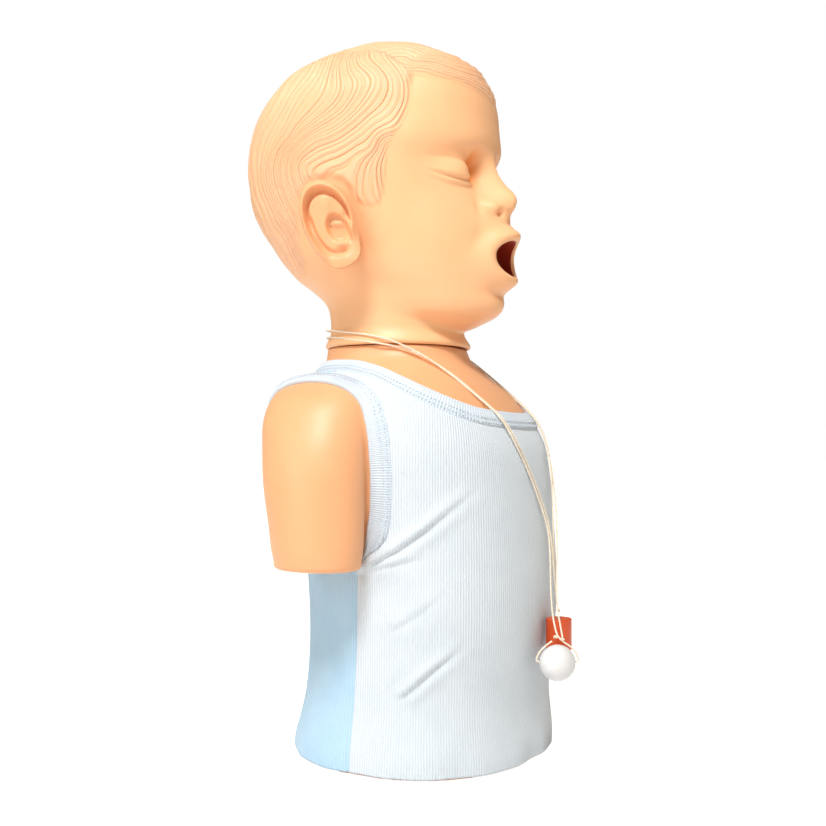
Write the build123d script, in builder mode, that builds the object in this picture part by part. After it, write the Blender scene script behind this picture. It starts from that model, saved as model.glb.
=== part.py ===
"""A child manikin for practising abdominal thrusts: a hollow vinyl head turning on the neck of a
hollow vinyl torso with two arm stubs, an air bladder and airway inside, a knitted vest, and two
practice foreign bodies hung round the neck on strings.

Millimetres, +Z up. The face looks along -Y and the manikin's own right is -X. The origin is on
the table, under the middle of the whole manikin.
"""

import math
import os

from build123d import *

os.makedirs("parts", exist_ok=True)

# Places along Y are written from the torso's axis, which lies this far in front of the origin.
AXIS_Y = -9.0

# Vinyl mouldings
HEAD_WALL = 4.0
TORSO_WALL = 4.0
FIT_GAP = 0.3
SIDES = 20

# Neck: the head's skirt turns on the torso's spigot
NECK_Y = 23.0
NECK_R = 48.5
SKIRT_FLARE = 1.5
SKIRT_WALL = 3.4
SEAM_Z = 279.0
SPIGOT_H = 23.0
SPIGOT_WALL = 4.0
SPIGOT_R = NECK_R - SKIRT_WALL - FIT_GAP

# Head: height, half width, front, back and how far the front half narrows
HEAD_LEVELS = (
    (295.0, 40.0, -42.0, 66.0, 0.30),
    (300.0, 46.0, -52.0, 69.0, 0.30),
    (307.0, 50.0, -56.0, 72.0, 0.30),
    (316.0, 54.0, -57.5, 79.0, 0.30),
    (330.0, 61.5, -58.0, 96.5, 0.28),
    (344.0, 66.5, -57.0, 110.0, 0.26),
    (357.0, 70.0, -55.0, 119.0, 0.24),
    (369.0, 73.0, -52.5, 127.0, 0.22),
    (385.0, 75.0, -49.0, 132.5, 0.18),
    (402.0, 76.0, -48.5, 134.6, 0.14),
    (416.0, 76.5, -52.5, 134.8, 0.12),
    (432.0, 75.5, -52.0, 131.5, 0.12),
    (450.0, 72.5, -50.0, 123.5, 0.12),
    (466.0, 65.5, -44.5, 111.5, 0.10),
    (479.0, 56.0, -34.0, 97.5, 0.07),
    (490.0, 39.0, -15.5, 73.0, 0.04),
    (497.0, 23.0, 2.0, 54.0, 0.02),
    (500.0, 9.0, 17.0, 38.0, 0.0),
)
HEAD_SQUARE = 2.1
HEAD_TURNS = (0, 2.5, 5, 8, 11.5, 15, 19, 24, 30, 38, 48, 61, 76, 92, 110, 130, 148, 165, 180)
HOLLOW_TURNS = (0, 18, 40, 65, 90, 120, 150, 180)
FACE_STEP = 5.5
FACE_Z = (312.0, 410.0)
HOLLOW_Z = 303.0

# Torso: height, half width, front, back and the share of an outward offset that goes upward
TORSO_LEVELS = (
    (0.0, 92.0, -84.0, 85.0, 0.0),
    (14.0, 91.5, -84.5, 83.5, 0.0),
    (40.0, 88.0, -83.0, 78.0, 0.0),
    (70.0, 87.0, -87.0, 75.0, 0.0),
    (100.0, 87.0, -89.0, 75.0, 0.0),
    (132.0, 88.0, -88.0, 77.5, 0.0),
    (180.0, 91.0, -84.5, 84.0, 0.0),
    (206.0, 92.5, -80.5, 84.0, 0.1),
    (222.0, 92.5, -73.0, 83.0, 0.35),
    (236.0, 89.0, -63.5, 80.5, 0.6),
    (249.0, 79.0, -52.0, 77.5, 0.8),
    (259.0, 65.0, -40.5, 75.0, 0.8),
    (269.0, 52.0, -30.0, 72.5, 0.4),
    (SEAM_Z - FIT_GAP, NECK_R, NECK_Y - NECK_R, NECK_Y + NECK_R, 0.0),
)
TORSO_SQUARE = 2.25
TORSO_ROOF_Z = 262.0

# Right arm stub: height, distance from the middle, Y, half thickness across and along
ARM_LEVELS = (
    (134.0, 107.0, 22.0, 20.0, 25.5),
    (138.5, 107.0, 22.5, 24.2, 29.5),
    (160.0, 105.5, 24.5, 26.0, 32.0),
    (185.0, 102.0, 28.0, 28.0, 34.5),
    (207.0, 96.5, 31.0, 29.0, 36.0),
    (226.0, 88.0, 35.0, 29.0, 37.5),
    (240.0, 80.0, 37.0, 27.0, 35.5),
    (250.0, 71.0, 39.0, 21.0, 30.0),
    (257.0, 62.0, 40.0, 12.0, 19.0),
)
ARM_SIDES = 16
ARM_END_T = 4.0

# Nose: height, how far it stands off the face, and its half width
NOSE_LEVELS = (
    (406.0, 0.0, 6.0),
    (396.0, 5.5, 7.0),
    (388.0, 12.5, 8.5),
    (383.0, 18.0, 9.5),
    (378.0, 19.0, 11.0),
    (373.0, 14.0, 11.5),
    (368.0, 6.0, 10.0),
    (362.0, 0.0, 9.0),
)
NOSTRIL_X = 5.5
NOSTRIL_R = 2.4

# Soft bumps and dents of the face: x, height, half width, half height, how far it stands off
FACE_FORMS = (
    (24.0, 400.0, 15.0, 9.0, -8.0),
    (30.0, 397.0, 10.0, 6.5, 5.5),
    (20.0, 413.0, 14.0, 6.0, 1.5),
    (11.5, 374.0, 4.5, 4.5, 4.0),
    (42.0, 352.0, 18.0, 20.0, 2.0),
    (0.0, 305.0, 15.0, 7.0, 2.0),
)
MUZZLE_Z = 344.0
MUZZLE_HALF_W = 13.0
MUZZLE_HALF_H = 25.0
MUZZLE_OUT = 12.5

# Mouth
MOUTH_Z = 337.5
MOUTH_R = 13.0
LIP_W = 4.5
LIP_OUT = 4.5

# Ears
EAR_AT = (83.0, 29.0, 355.0)
EAR_HALF_W = 18.0
EAR_HALF_H = 30.0
EAR_FULL_TOP = 0.16
EAR_SIDES = 16
EAR_TURN = 22.0
EAR_TILT = 13.0
EAR_ROOT = 23.0
EAR_TAPER = 16.0
EAR_RIM = 4.0
EAR_BOWL = 6.0

# Airway
TUBE_R = 12.0
TUBE_WALL = 2.0
TUBE_BEND_R = 26.0
TUBE_END_Z = 268.0
CUP_DEPTH = 26.0
RING_Z = SEAM_Z + 7.0
RING_T = 4.0
RING_SHELF = 4.0
HUB_WALL = 3.0
HUB_L = 28.0
HOSE_WALL = 3.0
HOSE_PUSH = 22.0
CLIP_WALL = 1.5
CLIP_H = 9.0
CLIP_LUG = 7.0
FLANGE_R = 23.0
FLANGE_T = 3.0

# Inside the torso
BASE_T = 6.0
LIP_T = 4.0
LIP_REACH = 14.0
BOARD_Y = 36.0
BOARD_T = 5.0
BOARD_W = 110.0
BOARD_H = 200.0
FOOT_L = 70.0
BLADDER_HALF_W = 60.0
BLADDER_HALF_D = 57.0
BLADDER_H = 115.0
RIB_T = 3.0
RIB_GAP = 0.6
RIB_SLOT = 8.0
RIB_PITCH = 19.0
SCREW_R = 2.4
SCREW_HEAD_R = 4.6
SCREW_HEAD_T = 2.4
SCREW_SINK = 0.6

# Vest
CLOTH_GAP = 0.4
CLOTH_T = 1.8
HEM_Z = 1.5
ARM_BAND_W = 14.0
SEAM_Y = 8.0
SHOULDER_Y = 40.0
BAND_EXTRA = 0.5
# Seen from the side, as Y and height: the neckline and the lower edge of its band
NECKLINE = (
    (-100.0, 229.0),
    (-69.0, 230.5),
    (-58.0, 233.5),
    (-43.0, 241.0),
    (-24.0, 250.0),
    (0.0, 260.0),
    (22.0, 266.0),
    (46.0, 268.0),
    (95.0, 266.0),
)
BAND_LINE = (
    (-100.0, 214.0),
    (-76.0, 216.0),
    (-66.0, 218.5),
    (-52.0, 225.0),
    (-36.0, 233.5),
    (-15.0, 244.0),
    (10.0, 253.0),
    (47.0, 258.0),
    (95.0, 254.0),
)
# The armhole's edge, seen square to the slanting plane that it lies in
ARMHOLE = (
    (8.0, 129.0),
    (0.0, 137.0),
    (-5.0, 152.0),
    (-7.0, 176.0),
    (-6.5, 201.0),
    (-4.0, 216.0),
    (3.0, 229.0),
    (14.0, 238.0),
    (28.0, 244.0),
    (46.0, 246.0),
    (62.0, 242.0),
    (76.0, 231.0),
    (84.0, 212.0),
    (84.0, 180.0),
    (77.0, 145.0),
    (60.0, 129.0),
    (35.0, 125.0),
)
ARMHOLE_MIDDLE = (38.0, 190.0)
ARMHOLE_X = 86.0
ARMHOLE_SLANT = 9.5

# Strings and foreign bodies
CORD_D = 1.2
BALL_R = 11.8
BALL_AT = (-19.8, -106.2, 68.5)
PLUG_R = 8.6
PLUG_L = 21.0
PLUG_AT = (-1.0, -100.4, 84.0)
BORE_R = 1.5
KNOT_R = 1.8


def at(x, y, z):
    """A place given from the torso's axis."""
    return Vector(x, AXIS_Y + y, z)


def oval(half_width, front, back, narrow=0.0, square=2.0, sides=SIDES):
    """Corners of a level cross-section, fuller than an ellipse where square is over 2."""
    middle, half = (front + back) / 2, (back - front) / 2
    points = []
    for i in range(sides):
        turn = 2 * math.pi * i / sides
        s, c = math.sin(turn), math.cos(turn)
        x = math.copysign(abs(s) ** (2 / square), s) * half_width
        y = math.copysign(abs(c) ** (2 / square), c) * half
        points.append((x * (1 - narrow * ((1 + c) / 2) ** 1.5), AXIS_Y + middle - y))
    return points


def level_face(z, points):
    """A closed level cross-section."""
    with BuildSketch(Plane.XY.offset(z)) as section:
        with BuildLine():
            Polyline(*points, close=True)
        make_face()
    return section.sketch


def between(levels, z):
    """The values of a level list at a height, on a smooth curve through its rows."""
    i = max(1, next((k for k, row in enumerate(levels) if row[0] >= z), len(levels) - 1))
    z0, z1 = levels[i - 1][0], levels[i][0]
    t = min(max((z - z0) / (z1 - z0), 0.0), 1.0)
    rows = [levels[min(max(k, 0), len(levels) - 1)] for k in (i - 2, i - 1, i, i + 1)]
    values = []
    for k in range(1, len(levels[0])):
        slopes = [
            (rows[j + 1][k] - rows[j - 1][k]) / (rows[j + 1][0] - rows[j - 1][0]) * (z1 - z0)
            for j in (1, 2)
        ]
        a, b = rows[1][k], rows[2][k]
        bend = (2 * a - 2 * b + slopes[0] + slopes[1]) * t**3
        bend += (-3 * a + 3 * b - 2 * slopes[0] - slopes[1]) * t**2
        values.append(bend + slopes[0] * t + a)
    return values


def soft(distance):
    """One at the middle of a form and nothing far from it."""
    return math.exp(-(distance**2))


def face_relief(x, z):
    """How far the face stands off the head's egg at a place seen from the front."""
    relief = 0.0
    for form_x, form_z, half_w, half_h, out in FACE_FORMS:
        reach = soft((abs(x) - form_x) / half_w) * soft((z - form_z) / half_h)
        relief += out * reach
    nose = NOSE_LEVELS[::-1]
    if nose[0][0] < z < nose[-1][0]:
        out, half_w = between(nose, z)
        relief += out * soft(x / half_w)
    window = math.exp(-(((z - MUZZLE_Z) / MUZZLE_HALF_H) ** 4))
    relief += MUZZLE_OUT * soft(x / MUZZLE_HALF_W) * window
    from_lip = math.hypot(x, z - MOUTH_Z) - MOUTH_R - LIP_W / 2
    return relief + LIP_OUT * soft(from_lip / LIP_W)


def head_corners(z, inward, turns, relief=True):
    """Corners of a level section through the head, closer together across the face."""
    half, front, back, narrow = between(HEAD_LEVELS, z)
    half, front, back = half - inward, front + inward, back - inward
    middle, depth = (front + back) / 2, (back - front) / 2
    right = []
    for turn in turns:
        s, c = math.sin(math.radians(turn)), math.cos(math.radians(turn))
        x = s ** (2 / HEAD_SQUARE) * half * (1 - narrow * ((1 + c) / 2) ** 1.5)
        y = middle - math.copysign(abs(c) ** (2 / HEAD_SQUARE), c) * depth
        if relief and turn < 90:
            y -= face_relief(x, z) * c**0.5
        right.append((x, AXIS_Y + y))
    return right + [(-x, y) for x, y in right[-2:0:-1]]


def head_form():
    """The head's outside, with more levels over the face."""
    low, high = FACE_Z
    steps = round((high - low) / FACE_STEP)
    levels = [row[0] for row in HEAD_LEVELS if not low - 4 < row[0] < high + 4]
    levels += [low + (high - low) * i / steps for i in range(steps + 1)]
    sections = [level_face(z, head_corners(z, 0.0, HEAD_TURNS)) for z in sorted(levels)]
    loft(sections, ruled=True)


def head_hollow(inward, mode=Mode.SUBTRACT):
    """The head's plain inside, a wall's thickness in."""
    levels = [HOLLOW_Z] + [row[0] for row in HEAD_LEVELS if row[0] > HOLLOW_Z + 8][:-1:2]
    sections = []
    for z in levels:
        corners = head_corners(z, inward, HOLLOW_TURNS, relief=False)
        sections.append(level_face(z, corners))
    top = HEAD_LEVELS[-2][0] - inward
    sections.append(level_face(top, head_corners(top + inward, inward, HOLLOW_TURNS, False)))
    loft(sections, ruled=True, mode=mode)


def torso_form(outward, lowest=0.0, highest=SEAM_Z - FIT_GAP, mode=Mode.ADD):
    """The torso, offset outward for cloth or, with a negative offset, for its hollow."""
    heights = [row[0] for row in TORSO_LEVELS if lowest + 2 < row[0] < highest - 2]
    sections = []
    for z in [lowest, *heights, highest]:
        half, front, back, rise = between(TORSO_LEVELS, z)
        level = z + outward * rise if z in heights else z
        corners = oval(half + outward, front - outward, back + outward, 0.0, TORSO_SQUARE)
        sections.append(level_face(level, corners))
    loft(sections, ruled=True, mode=mode)


def arm_form(side, outward, mode=Mode.ADD):
    """An arm stub, to the manikin's right for side -1, offset outward all round."""
    sections = []
    for z, x, y, half_x, half_y in ARM_LEVELS:
        level = z - outward if z == ARM_LEVELS[0][0] else z
        level = z + outward if z == ARM_LEVELS[-1][0] else level
        corners = [
            (side * x + px, py)
            for px, py in oval(half_x + outward, y - half_y - outward, y + half_y + outward,
                               sides=ARM_SIDES)
        ]
        sections.append(level_face(level, corners))
    loft(sections, ruled=True, mode=mode)


def neck_turned(*points, mode=Mode.ADD, y=NECK_Y, x=0.0):
    """Turns a radius-and-height outline about the neck's axis, or another upright one."""
    with BuildSketch(Plane(at(x, y, 0), x_dir=(1, 0, 0), z_dir=(0, -1, 0))) as outline:
        with BuildLine():
            Polyline(*points, close=True)
        make_face()
    revolve(outline.sketch, axis=Axis(at(x, y, 0), (0, 0, 1)), mode=mode)


def side_outline(*points, reach=200.0, mode=Mode.INTERSECT):
    """Cuts along X with an outline of Y and height places."""
    with BuildSketch(Plane.YZ) as outline:
        with BuildLine():
            Polyline(*[(AXIS_Y + y, z) for y, z in points], close=True)
        make_face()
    extrude(outline.sketch, reach, both=True, mode=mode)


def finish(piece, name):
    """Labels a finished piece and writes it."""
    piece.part.label = name
    export_step(piece.part, f"parts/{name}.step")
    print(name, round(piece.part.volume), piece.part.is_valid, len(piece.part.solids()))


def ear_form(side):
    """An ear: a dished shell that stands off the head at its back edge."""
    turn = math.radians(EAR_TURN)
    tilt = math.radians(EAR_TILT)
    outward = Vector(side * math.cos(turn), -math.sin(turn), 0)
    back = Vector(side * math.sin(turn), math.cos(turn), 0)
    up = Vector(0, 0, 1) * math.cos(tilt) + back * math.sin(tilt)
    across = up.cross(outward)
    rim_plane = Plane(at(side * EAR_AT[0], *EAR_AT[1:]), x_dir=across, z_dir=outward)
    corners = []
    for i in range(EAR_SIDES):
        a = 2 * math.pi * i / EAR_SIDES
        width = EAR_HALF_W * (1 + EAR_FULL_TOP * math.cos(a))
        corners.append((width * math.sin(a), EAR_HALF_H * math.cos(a)))
    with BuildPart() as ear:
        with BuildSketch(rim_plane) as shape:
            with BuildLine():
                Polyline(*corners, close=True)
            make_face()
        extrude(shape.sketch, -EAR_ROOT, taper=EAR_TAPER)
        with BuildSketch(rim_plane.offset(-EAR_BOWL)) as bowl:
            Ellipse(EAR_HALF_W - EAR_RIM, EAR_HALF_H - EAR_RIM)
        extrude(bowl.sketch, 2 * EAR_BOWL, mode=Mode.SUBTRACT)
    return ear.part


with BuildPart() as head_shell:
    head_form()
    neck_turned(
        (0, 330),
        (NECK_R - 0.5, 330),
        (NECK_R - 0.5, 294),
        (NECK_R + SKIRT_FLARE, SEAM_Z + 4),
        (NECK_R + SKIRT_FLARE, SEAM_Z + 1.2),
        (NECK_R + SKIRT_FLARE - 1.2, SEAM_Z),
        (0, SEAM_Z),
    )
    for side in (-1, 1):
        add(ear_form(side))
    head_hollow(HEAD_WALL)
    neck_turned(
        (0, SEAM_Z - 1),
        (SPIGOT_R + FIT_GAP, SEAM_Z - 1),
        (SPIGOT_R + FIT_GAP, SEAM_Z + SPIGOT_H + 4),
        (0, SEAM_Z + SPIGOT_H + 4),
        mode=Mode.SUBTRACT,
    )
    with BuildSketch(Plane(at(0, -90, MOUTH_Z), x_dir=(1, 0, 0), z_dir=(0, 1, 0))) as hole:
        Circle(MOUTH_R)
    extrude(hole.sketch, 50, mode=Mode.SUBTRACT)
    for side in (-1, 1):
        with BuildSketch(Plane(at(side * NOSTRIL_X, -62.5, 362))) as nostril:
            Circle(NOSTRIL_R)
        extrude(nostril.sketch, 12, mode=Mode.SUBTRACT)
finish(head_shell, "head_shell")


def ringed(inner, outer, bottom, top):
    """The outline of a plain ring, as radius and height."""
    return (inner, bottom), (outer, bottom), (outer, top), (inner, top)


def bent_tube(points, radius, turns, mode=Mode.ADD):
    """A round bar along straight runs joined by tangent arcs."""
    with BuildLine() as route:
        FilletPolyline(*points, radius=turns)
    path = route.line
    with BuildSketch(Plane(path @ 0, z_dir=path % 0)) as section:
        Circle(radius)
    sweep(section.sketch, path=path, mode=mode)
    return path


# Throat: a mouth cavity that narrows to a tube, which bends down the neck's axis
CUP_FRONT_Y = -56.0
CUP_END_Y = CUP_FRONT_Y + CUP_DEPTH
throat_points = (
    at(0, CUP_END_Y, MOUTH_Z),
    at(0, NECK_Y, MOUTH_Z),
    at(0, NECK_Y, TUBE_END_Z),
)


def mouth_cup(radius, end_radius, mode=Mode.ADD):
    """A funnel from the mouth to the tube, turned about the mouth's level axis."""
    with BuildSketch(Plane(at(0, 0, MOUTH_Z), x_dir=(0, 1, 0), z_dir=(1, 0, 0))) as outline:
        with BuildLine():
            corners = ((CUP_FRONT_Y, 0), (CUP_FRONT_Y, radius), (CUP_END_Y, end_radius), (CUP_END_Y, 0))
            Polyline(*corners, close=True)
        make_face()
    revolve(outline.sketch, axis=Axis(at(0, 0, MOUTH_Z), (0, 1, 0)), mode=mode)


with BuildPart() as throat_tube:
    mouth_cup(MOUTH_R + TUBE_WALL, TUBE_R)
    head_hollow(HEAD_WALL + FIT_GAP, mode=Mode.INTERSECT)
    bent_tube(throat_points, TUBE_R, TUBE_BEND_R)
    mouth_cup(MOUTH_R, TUBE_R - TUBE_WALL, mode=Mode.SUBTRACT)
    bent_tube(throat_points, TUBE_R - TUBE_WALL, TUBE_BEND_R, mode=Mode.SUBTRACT)
finish(throat_tube, "throat_tube")

# Torso
SHELF_R = SPIGOT_R - SPIGOT_WALL - RING_SHELF
RING_BORE_R = SPIGOT_R - SPIGOT_WALL
SPIGOT_TOP_Z = SEAM_Z + SPIGOT_H
BASE_HALF, BASE_FRONT, BASE_BACK = TORSO_LEVELS[0][1:4]


def base_outline(inward):
    """The corners of the torso's foot, a distance in from its outside."""
    return oval(BASE_HALF - inward, BASE_FRONT + inward, BASE_BACK - inward, 0.0, TORSO_SQUARE)


def base_screw_places():
    """Places of the screws that hold the base plate, on the middle of the torso's inner lip."""
    inward = TORSO_WALL + LIP_REACH / 2
    middle, half = (BASE_FRONT + BASE_BACK) / 2, (BASE_BACK - BASE_FRONT) / 2 - inward
    for i in range(6):
        a = math.radians(30 + 60 * i)
        yield (BASE_HALF - inward) * math.sin(a), AXIS_Y + middle - half * math.cos(a)


def board_screw_places():
    """Places of the screws that hold the back board's foot."""
    for side in (-1, 1):
        yield side * BOARD_W * 0.35, AXIS_Y + BOARD_Y - FOOT_L * 0.3


with BuildPart() as torso_shell:
    torso_form(0.0)
    for side in (-1, 1):
        arm_form(side, 0.0)
    neck_turned(*ringed(0, SPIGOT_R, TORSO_ROOF_Z - 4, SPIGOT_TOP_Z))
    torso_form(-TORSO_WALL, BASE_T + LIP_T, TORSO_ROOF_Z, mode=Mode.SUBTRACT)
    for side in (-1, 1):
        arm_form(side, -ARM_END_T, mode=Mode.SUBTRACT)
    neck_turned(
        (0, TORSO_ROOF_Z - 20),
        (SHELF_R, TORSO_ROOF_Z - 20),
        (SHELF_R, RING_Z),
        (RING_BORE_R, RING_Z),
        (RING_BORE_R, SPIGOT_TOP_Z + 1),
        (0, SPIGOT_TOP_Z + 1),
        mode=Mode.SUBTRACT,
    )
    extrude(level_face(0, base_outline(TORSO_WALL)), BASE_T, mode=Mode.SUBTRACT)
    extrude(level_face(0, base_outline(TORSO_WALL + LIP_REACH)), BASE_T + LIP_T + 1, mode=Mode.SUBTRACT)
    with Locations(*[(x, y, BASE_T) for x, y in base_screw_places()]):
        Cylinder(SCREW_R + 0.1, 3 * LIP_T, mode=Mode.SUBTRACT)
finish(torso_shell, "torso_shell")

with BuildPart() as neck_ring:
    hub = TUBE_R + FIT_GAP
    neck_turned(
        (hub, RING_Z + RING_T - HUB_L),
        (hub + HUB_WALL, RING_Z + RING_T - HUB_L),
        (hub + HUB_WALL, RING_Z),
        (RING_BORE_R - FIT_GAP, RING_Z),
        (RING_BORE_R - FIT_GAP, RING_Z + RING_T),
        (hub, RING_Z + RING_T),
    )
finish(neck_ring, "neck_ring")

# Base
with BuildPart() as base_plate:
    extrude(level_face(0, base_outline(TORSO_WALL + FIT_GAP)), BASE_T)
    screw_places = [*base_screw_places(), *board_screw_places()]
    with Locations(*[(x, y, BASE_T) for x, y in screw_places]):
        CounterBoreHole(SCREW_R + 0.1, SCREW_HEAD_R + 0.4, BASE_T - SCREW_SINK - SCREW_HEAD_T)
    with Locations(*[(x, y, 0) for x, y in screw_places]):
        Cylinder(
            SCREW_HEAD_R + 0.4,
            SCREW_SINK + SCREW_HEAD_T,
            align=(Align.CENTER, Align.CENTER, Align.MIN),
            mode=Mode.SUBTRACT,
        )
finish(base_plate, "base_plate")


def screw_group(places, length):
    """Cheese-head screws driven up from below, as one group."""
    low = (Align.CENTER, Align.CENTER, Align.MIN)
    with BuildPart() as screws:
        with Locations(*[(x, y, SCREW_SINK) for x, y in places]):
            Cylinder(SCREW_HEAD_R, SCREW_HEAD_T, align=low)
            Cylinder(SCREW_R, SCREW_HEAD_T + length, align=low)
    return screws


base_screws = screw_group([*base_screw_places()], BASE_T + LIP_T - 2)
finish(base_screws, "base_screws")

# Back board: an upright board with a foot that the bladder stands on
with BuildPart() as back_board:
    with BuildSketch(Plane(at(0, BOARD_Y, 0), x_dir=(1, 0, 0), z_dir=(0, 1, 0))) as board:
        with Locations((0, -(BASE_T + BOARD_H / 2))):
            RectangleRounded(BOARD_W, BOARD_H, 12)
        with Locations((0, -(BASE_T + BOARD_T * 2))):
            Rectangle(BOARD_W, BOARD_T * 4)
    extrude(board.sketch, BOARD_T)
    with BuildSketch(Plane.XY.offset(BASE_T)) as foot:
        with Locations((0, AXIS_Y + BOARD_Y - FOOT_L / 2 + BOARD_T / 2)):
            RectangleRounded(BOARD_W, FOOT_L + BOARD_T, 4)
    extrude(foot.sketch, BOARD_T)
    with Locations(*[(x, y, BASE_T) for x, y in board_screw_places()]):
        Cylinder(SCREW_R + 0.1, 3 * BOARD_T, mode=Mode.SUBTRACT)
finish(back_board, "back_board")

board_screws = screw_group([*board_screw_places()], BASE_T + BOARD_T - 3)
finish(board_screws, "board_screws")

# Air bladder: a bag between the belly wall and the back board
BLADDER_Z = BASE_T + BOARD_T + FIT_GAP
BLADDER_Y = BOARD_Y - FIT_GAP - BLADDER_HALF_D
with BuildPart() as air_bladder:
    sections = []
    for rise, share in ((0, 0.55), (0.08, 0.8), (0.3, 0.97), (0.55, 1), (0.8, 0.86), (0.94, 0.62), (1, 0.48)):
        half_w, half_d = BLADDER_HALF_W * share, BLADDER_HALF_D * share
        corners = oval(half_w, BLADDER_Y - half_d, BLADDER_Y + half_d, 0.0, 2.3, 16)
        sections.append(level_face(BLADDER_Z + rise * BLADDER_H, corners))
    loft(sections, ruled=True)
finish(air_bladder, "air_bladder")

FITTING_Z = BLADDER_Z + BLADDER_H
HOSE_R = TUBE_R + FIT_GAP + HUB_WALL + FIT_GAP
with BuildPart() as bladder_fitting:
    hub = TUBE_R + FIT_GAP
    neck_turned(
        (hub, FITTING_Z),
        (FLANGE_R, FITTING_Z),
        (FLANGE_R, FITTING_Z + FLANGE_T),
        (hub + HUB_WALL, FITTING_Z + FLANGE_T),
        (hub + HUB_WALL, FITTING_Z + FLANGE_T + HUB_L),
        (hub, FITTING_Z + FLANGE_T + HUB_L),
        y=BLADDER_Y,
    )
finish(bladder_fitting, "bladder_fitting")

# Hose from the bladder to the throat, pushed over both hubs
hose_start = FITTING_Z + FLANGE_T + HUB_L - HOSE_PUSH
hose_end = RING_Z + RING_T - HUB_L + HOSE_PUSH
hose_rise = (hose_end - hose_start) / 3
hose_points = (
    at(0, BLADDER_Y, hose_start),
    at(0, BLADDER_Y, hose_start + hose_rise),
    at(0, NECK_Y, hose_end - hose_rise),
    at(0, NECK_Y, hose_end),
)
hose_turn = math.atan2(NECK_Y - BLADDER_Y, hose_rise)
HOSE_BEND_R = 0.45 * hose_rise / math.tan(hose_turn / 2)
with BuildPart() as airway_hose:
    bent_tube(hose_points, HOSE_R + HOSE_WALL, HOSE_BEND_R)
    bent_tube(hose_points, HOSE_R, HOSE_BEND_R, mode=Mode.SUBTRACT)
finish(airway_hose, "airway_hose")


def hose_clip(y, z, name):
    """A band clip with its screw lug."""
    inner = HOSE_R + HOSE_WALL + FIT_GAP
    with BuildPart() as clip:
        neck_turned(*ringed(inner, inner + CLIP_WALL, z, z + CLIP_H), y=y)
        with Locations(at(0, y - inner - CLIP_WALL / 2 - CLIP_LUG / 2, z + CLIP_H / 2)):
            Box(CLIP_LUG, CLIP_LUG, CLIP_H * 0.7)
    finish(clip, name)


hose_clip(BLADDER_Y, hose_start + 5, "hose_clip_lower")
hose_clip(NECK_Y, hose_end - CLIP_H - 5, "hose_clip_upper")

# Rib plate: the rib cage with the tip of the breastbone between the costal arches
RIB_OUTLINE = (
    (0.0, 112.0),
    (8.0, 122.0),
    (34.0, 108.0),
    (62.0, 118.0),
    (74.0, 150.0),
    (74.0, 196.0),
    (50.0, 216.0),
    (18.0, 224.0),
    (0.0, 219.0),
)
with BuildPart() as rib_plate:
    rib_outer = -(TORSO_WALL + RIB_GAP)
    torso_form(rib_outer, 90.0, 230.0)
    torso_form(rib_outer - RIB_T, 89.0, 231.0, mode=Mode.SUBTRACT)
    with BuildSketch(Plane(at(0, 0, 0), x_dir=(1, 0, 0), z_dir=(0, -1, 0))) as cage:
        with BuildLine():
            left = [(-x, z) for x, z in RIB_OUTLINE[-2:0:-1]]
            Polyline(*RIB_OUTLINE, *left, close=True)
        make_face()
    extrude(cage.sketch, 120, mode=Mode.INTERSECT)
    with BuildSketch(Plane(at(0, 0, 0), x_dir=(1, 0, 0), z_dir=(0, -1, 0))) as gaps:
        for side in (-1, 1):
            for i in range(4):
                with Locations(Location((side * 42, 140 + RIB_PITCH * i), side * 14)):
                    SlotOverall(46, RIB_SLOT)
    extrude(gaps.sketch, 120, mode=Mode.SUBTRACT)
finish(rib_plate, "rib_plate")


def vest_cloth(extra=0.0):
    """A layer of cloth over the torso and the tops of the arm stubs, open at the armholes."""
    top = TORSO_LEVELS[-2][0]
    with BuildPart() as cloth:
        torso_form(CLOTH_GAP + CLOTH_T + extra, HEM_Z, top)
        for side in (-1, 1):
            arm_form(side, CLOTH_GAP + CLOTH_T + extra)
        torso_form(CLOTH_GAP, HEM_Z - 1, top + 1, mode=Mode.SUBTRACT)
        for side in (-1, 1):
            arm_form(side, CLOTH_GAP, mode=Mode.SUBTRACT)
            armhole(side, 0.0, Mode.SUBTRACT)
    return cloth.part


def armhole(side, grow, mode):
    """The space outside the armhole's plane and inside its edge, or that much larger all round."""
    slant = math.radians(ARMHOLE_SLANT)
    along = Vector(side * math.sin(slant), math.cos(slant), 0)
    outward = Vector(side * math.cos(slant), -math.sin(slant), 0)
    first_y = min(y for y, z in ARMHOLE)
    corners = []
    for y, z in ARMHOLE:
        away = math.hypot(y - ARMHOLE_MIDDLE[0], z - ARMHOLE_MIDDLE[1])
        y, z = (m + (p - m) * (1 + grow / away) for p, m in zip((y, z), ARMHOLE_MIDDLE))
        corners.append(((y - first_y) / math.cos(slant), side * z))
    origin = at(side * ARMHOLE_X, first_y, 0) - outward * grow
    with BuildSketch(Plane(origin, x_dir=along, z_dir=outward)) as edge:
        with BuildLine():
            Polyline(*corners, close=True)
        make_face()
    extrude(edge.sketch, 80, mode=mode)


FAR = 130.0
front_half = ((-FAR, 0), (SEAM_Y, 0), (SEAM_Y, 180), (SHOULDER_Y, 240), (SHOULDER_Y, 275), (-FAR, 275))
cloth_sheet = vest_cloth()
cloth_bands = vest_cloth(BAND_EXTRA)


def vest_panel(name, half_mode):
    """The front or the back of the vest, between the bands and the seams."""
    with BuildPart() as panel:
        add(cloth_sheet)
        side_outline(*front_half, mode=half_mode)
        side_outline(*BAND_LINE, (FAR, BAND_LINE[-1][1]), (FAR, 300), (-FAR, 300),
                     (-FAR, BAND_LINE[0][1]), mode=Mode.SUBTRACT)
        for side in (-1, 1):
            armhole(side, ARM_BAND_W, Mode.SUBTRACT)
    finish(panel, name)


vest_panel("vest_front", Mode.INTERSECT)
vest_panel("vest_back", Mode.SUBTRACT)

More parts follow.
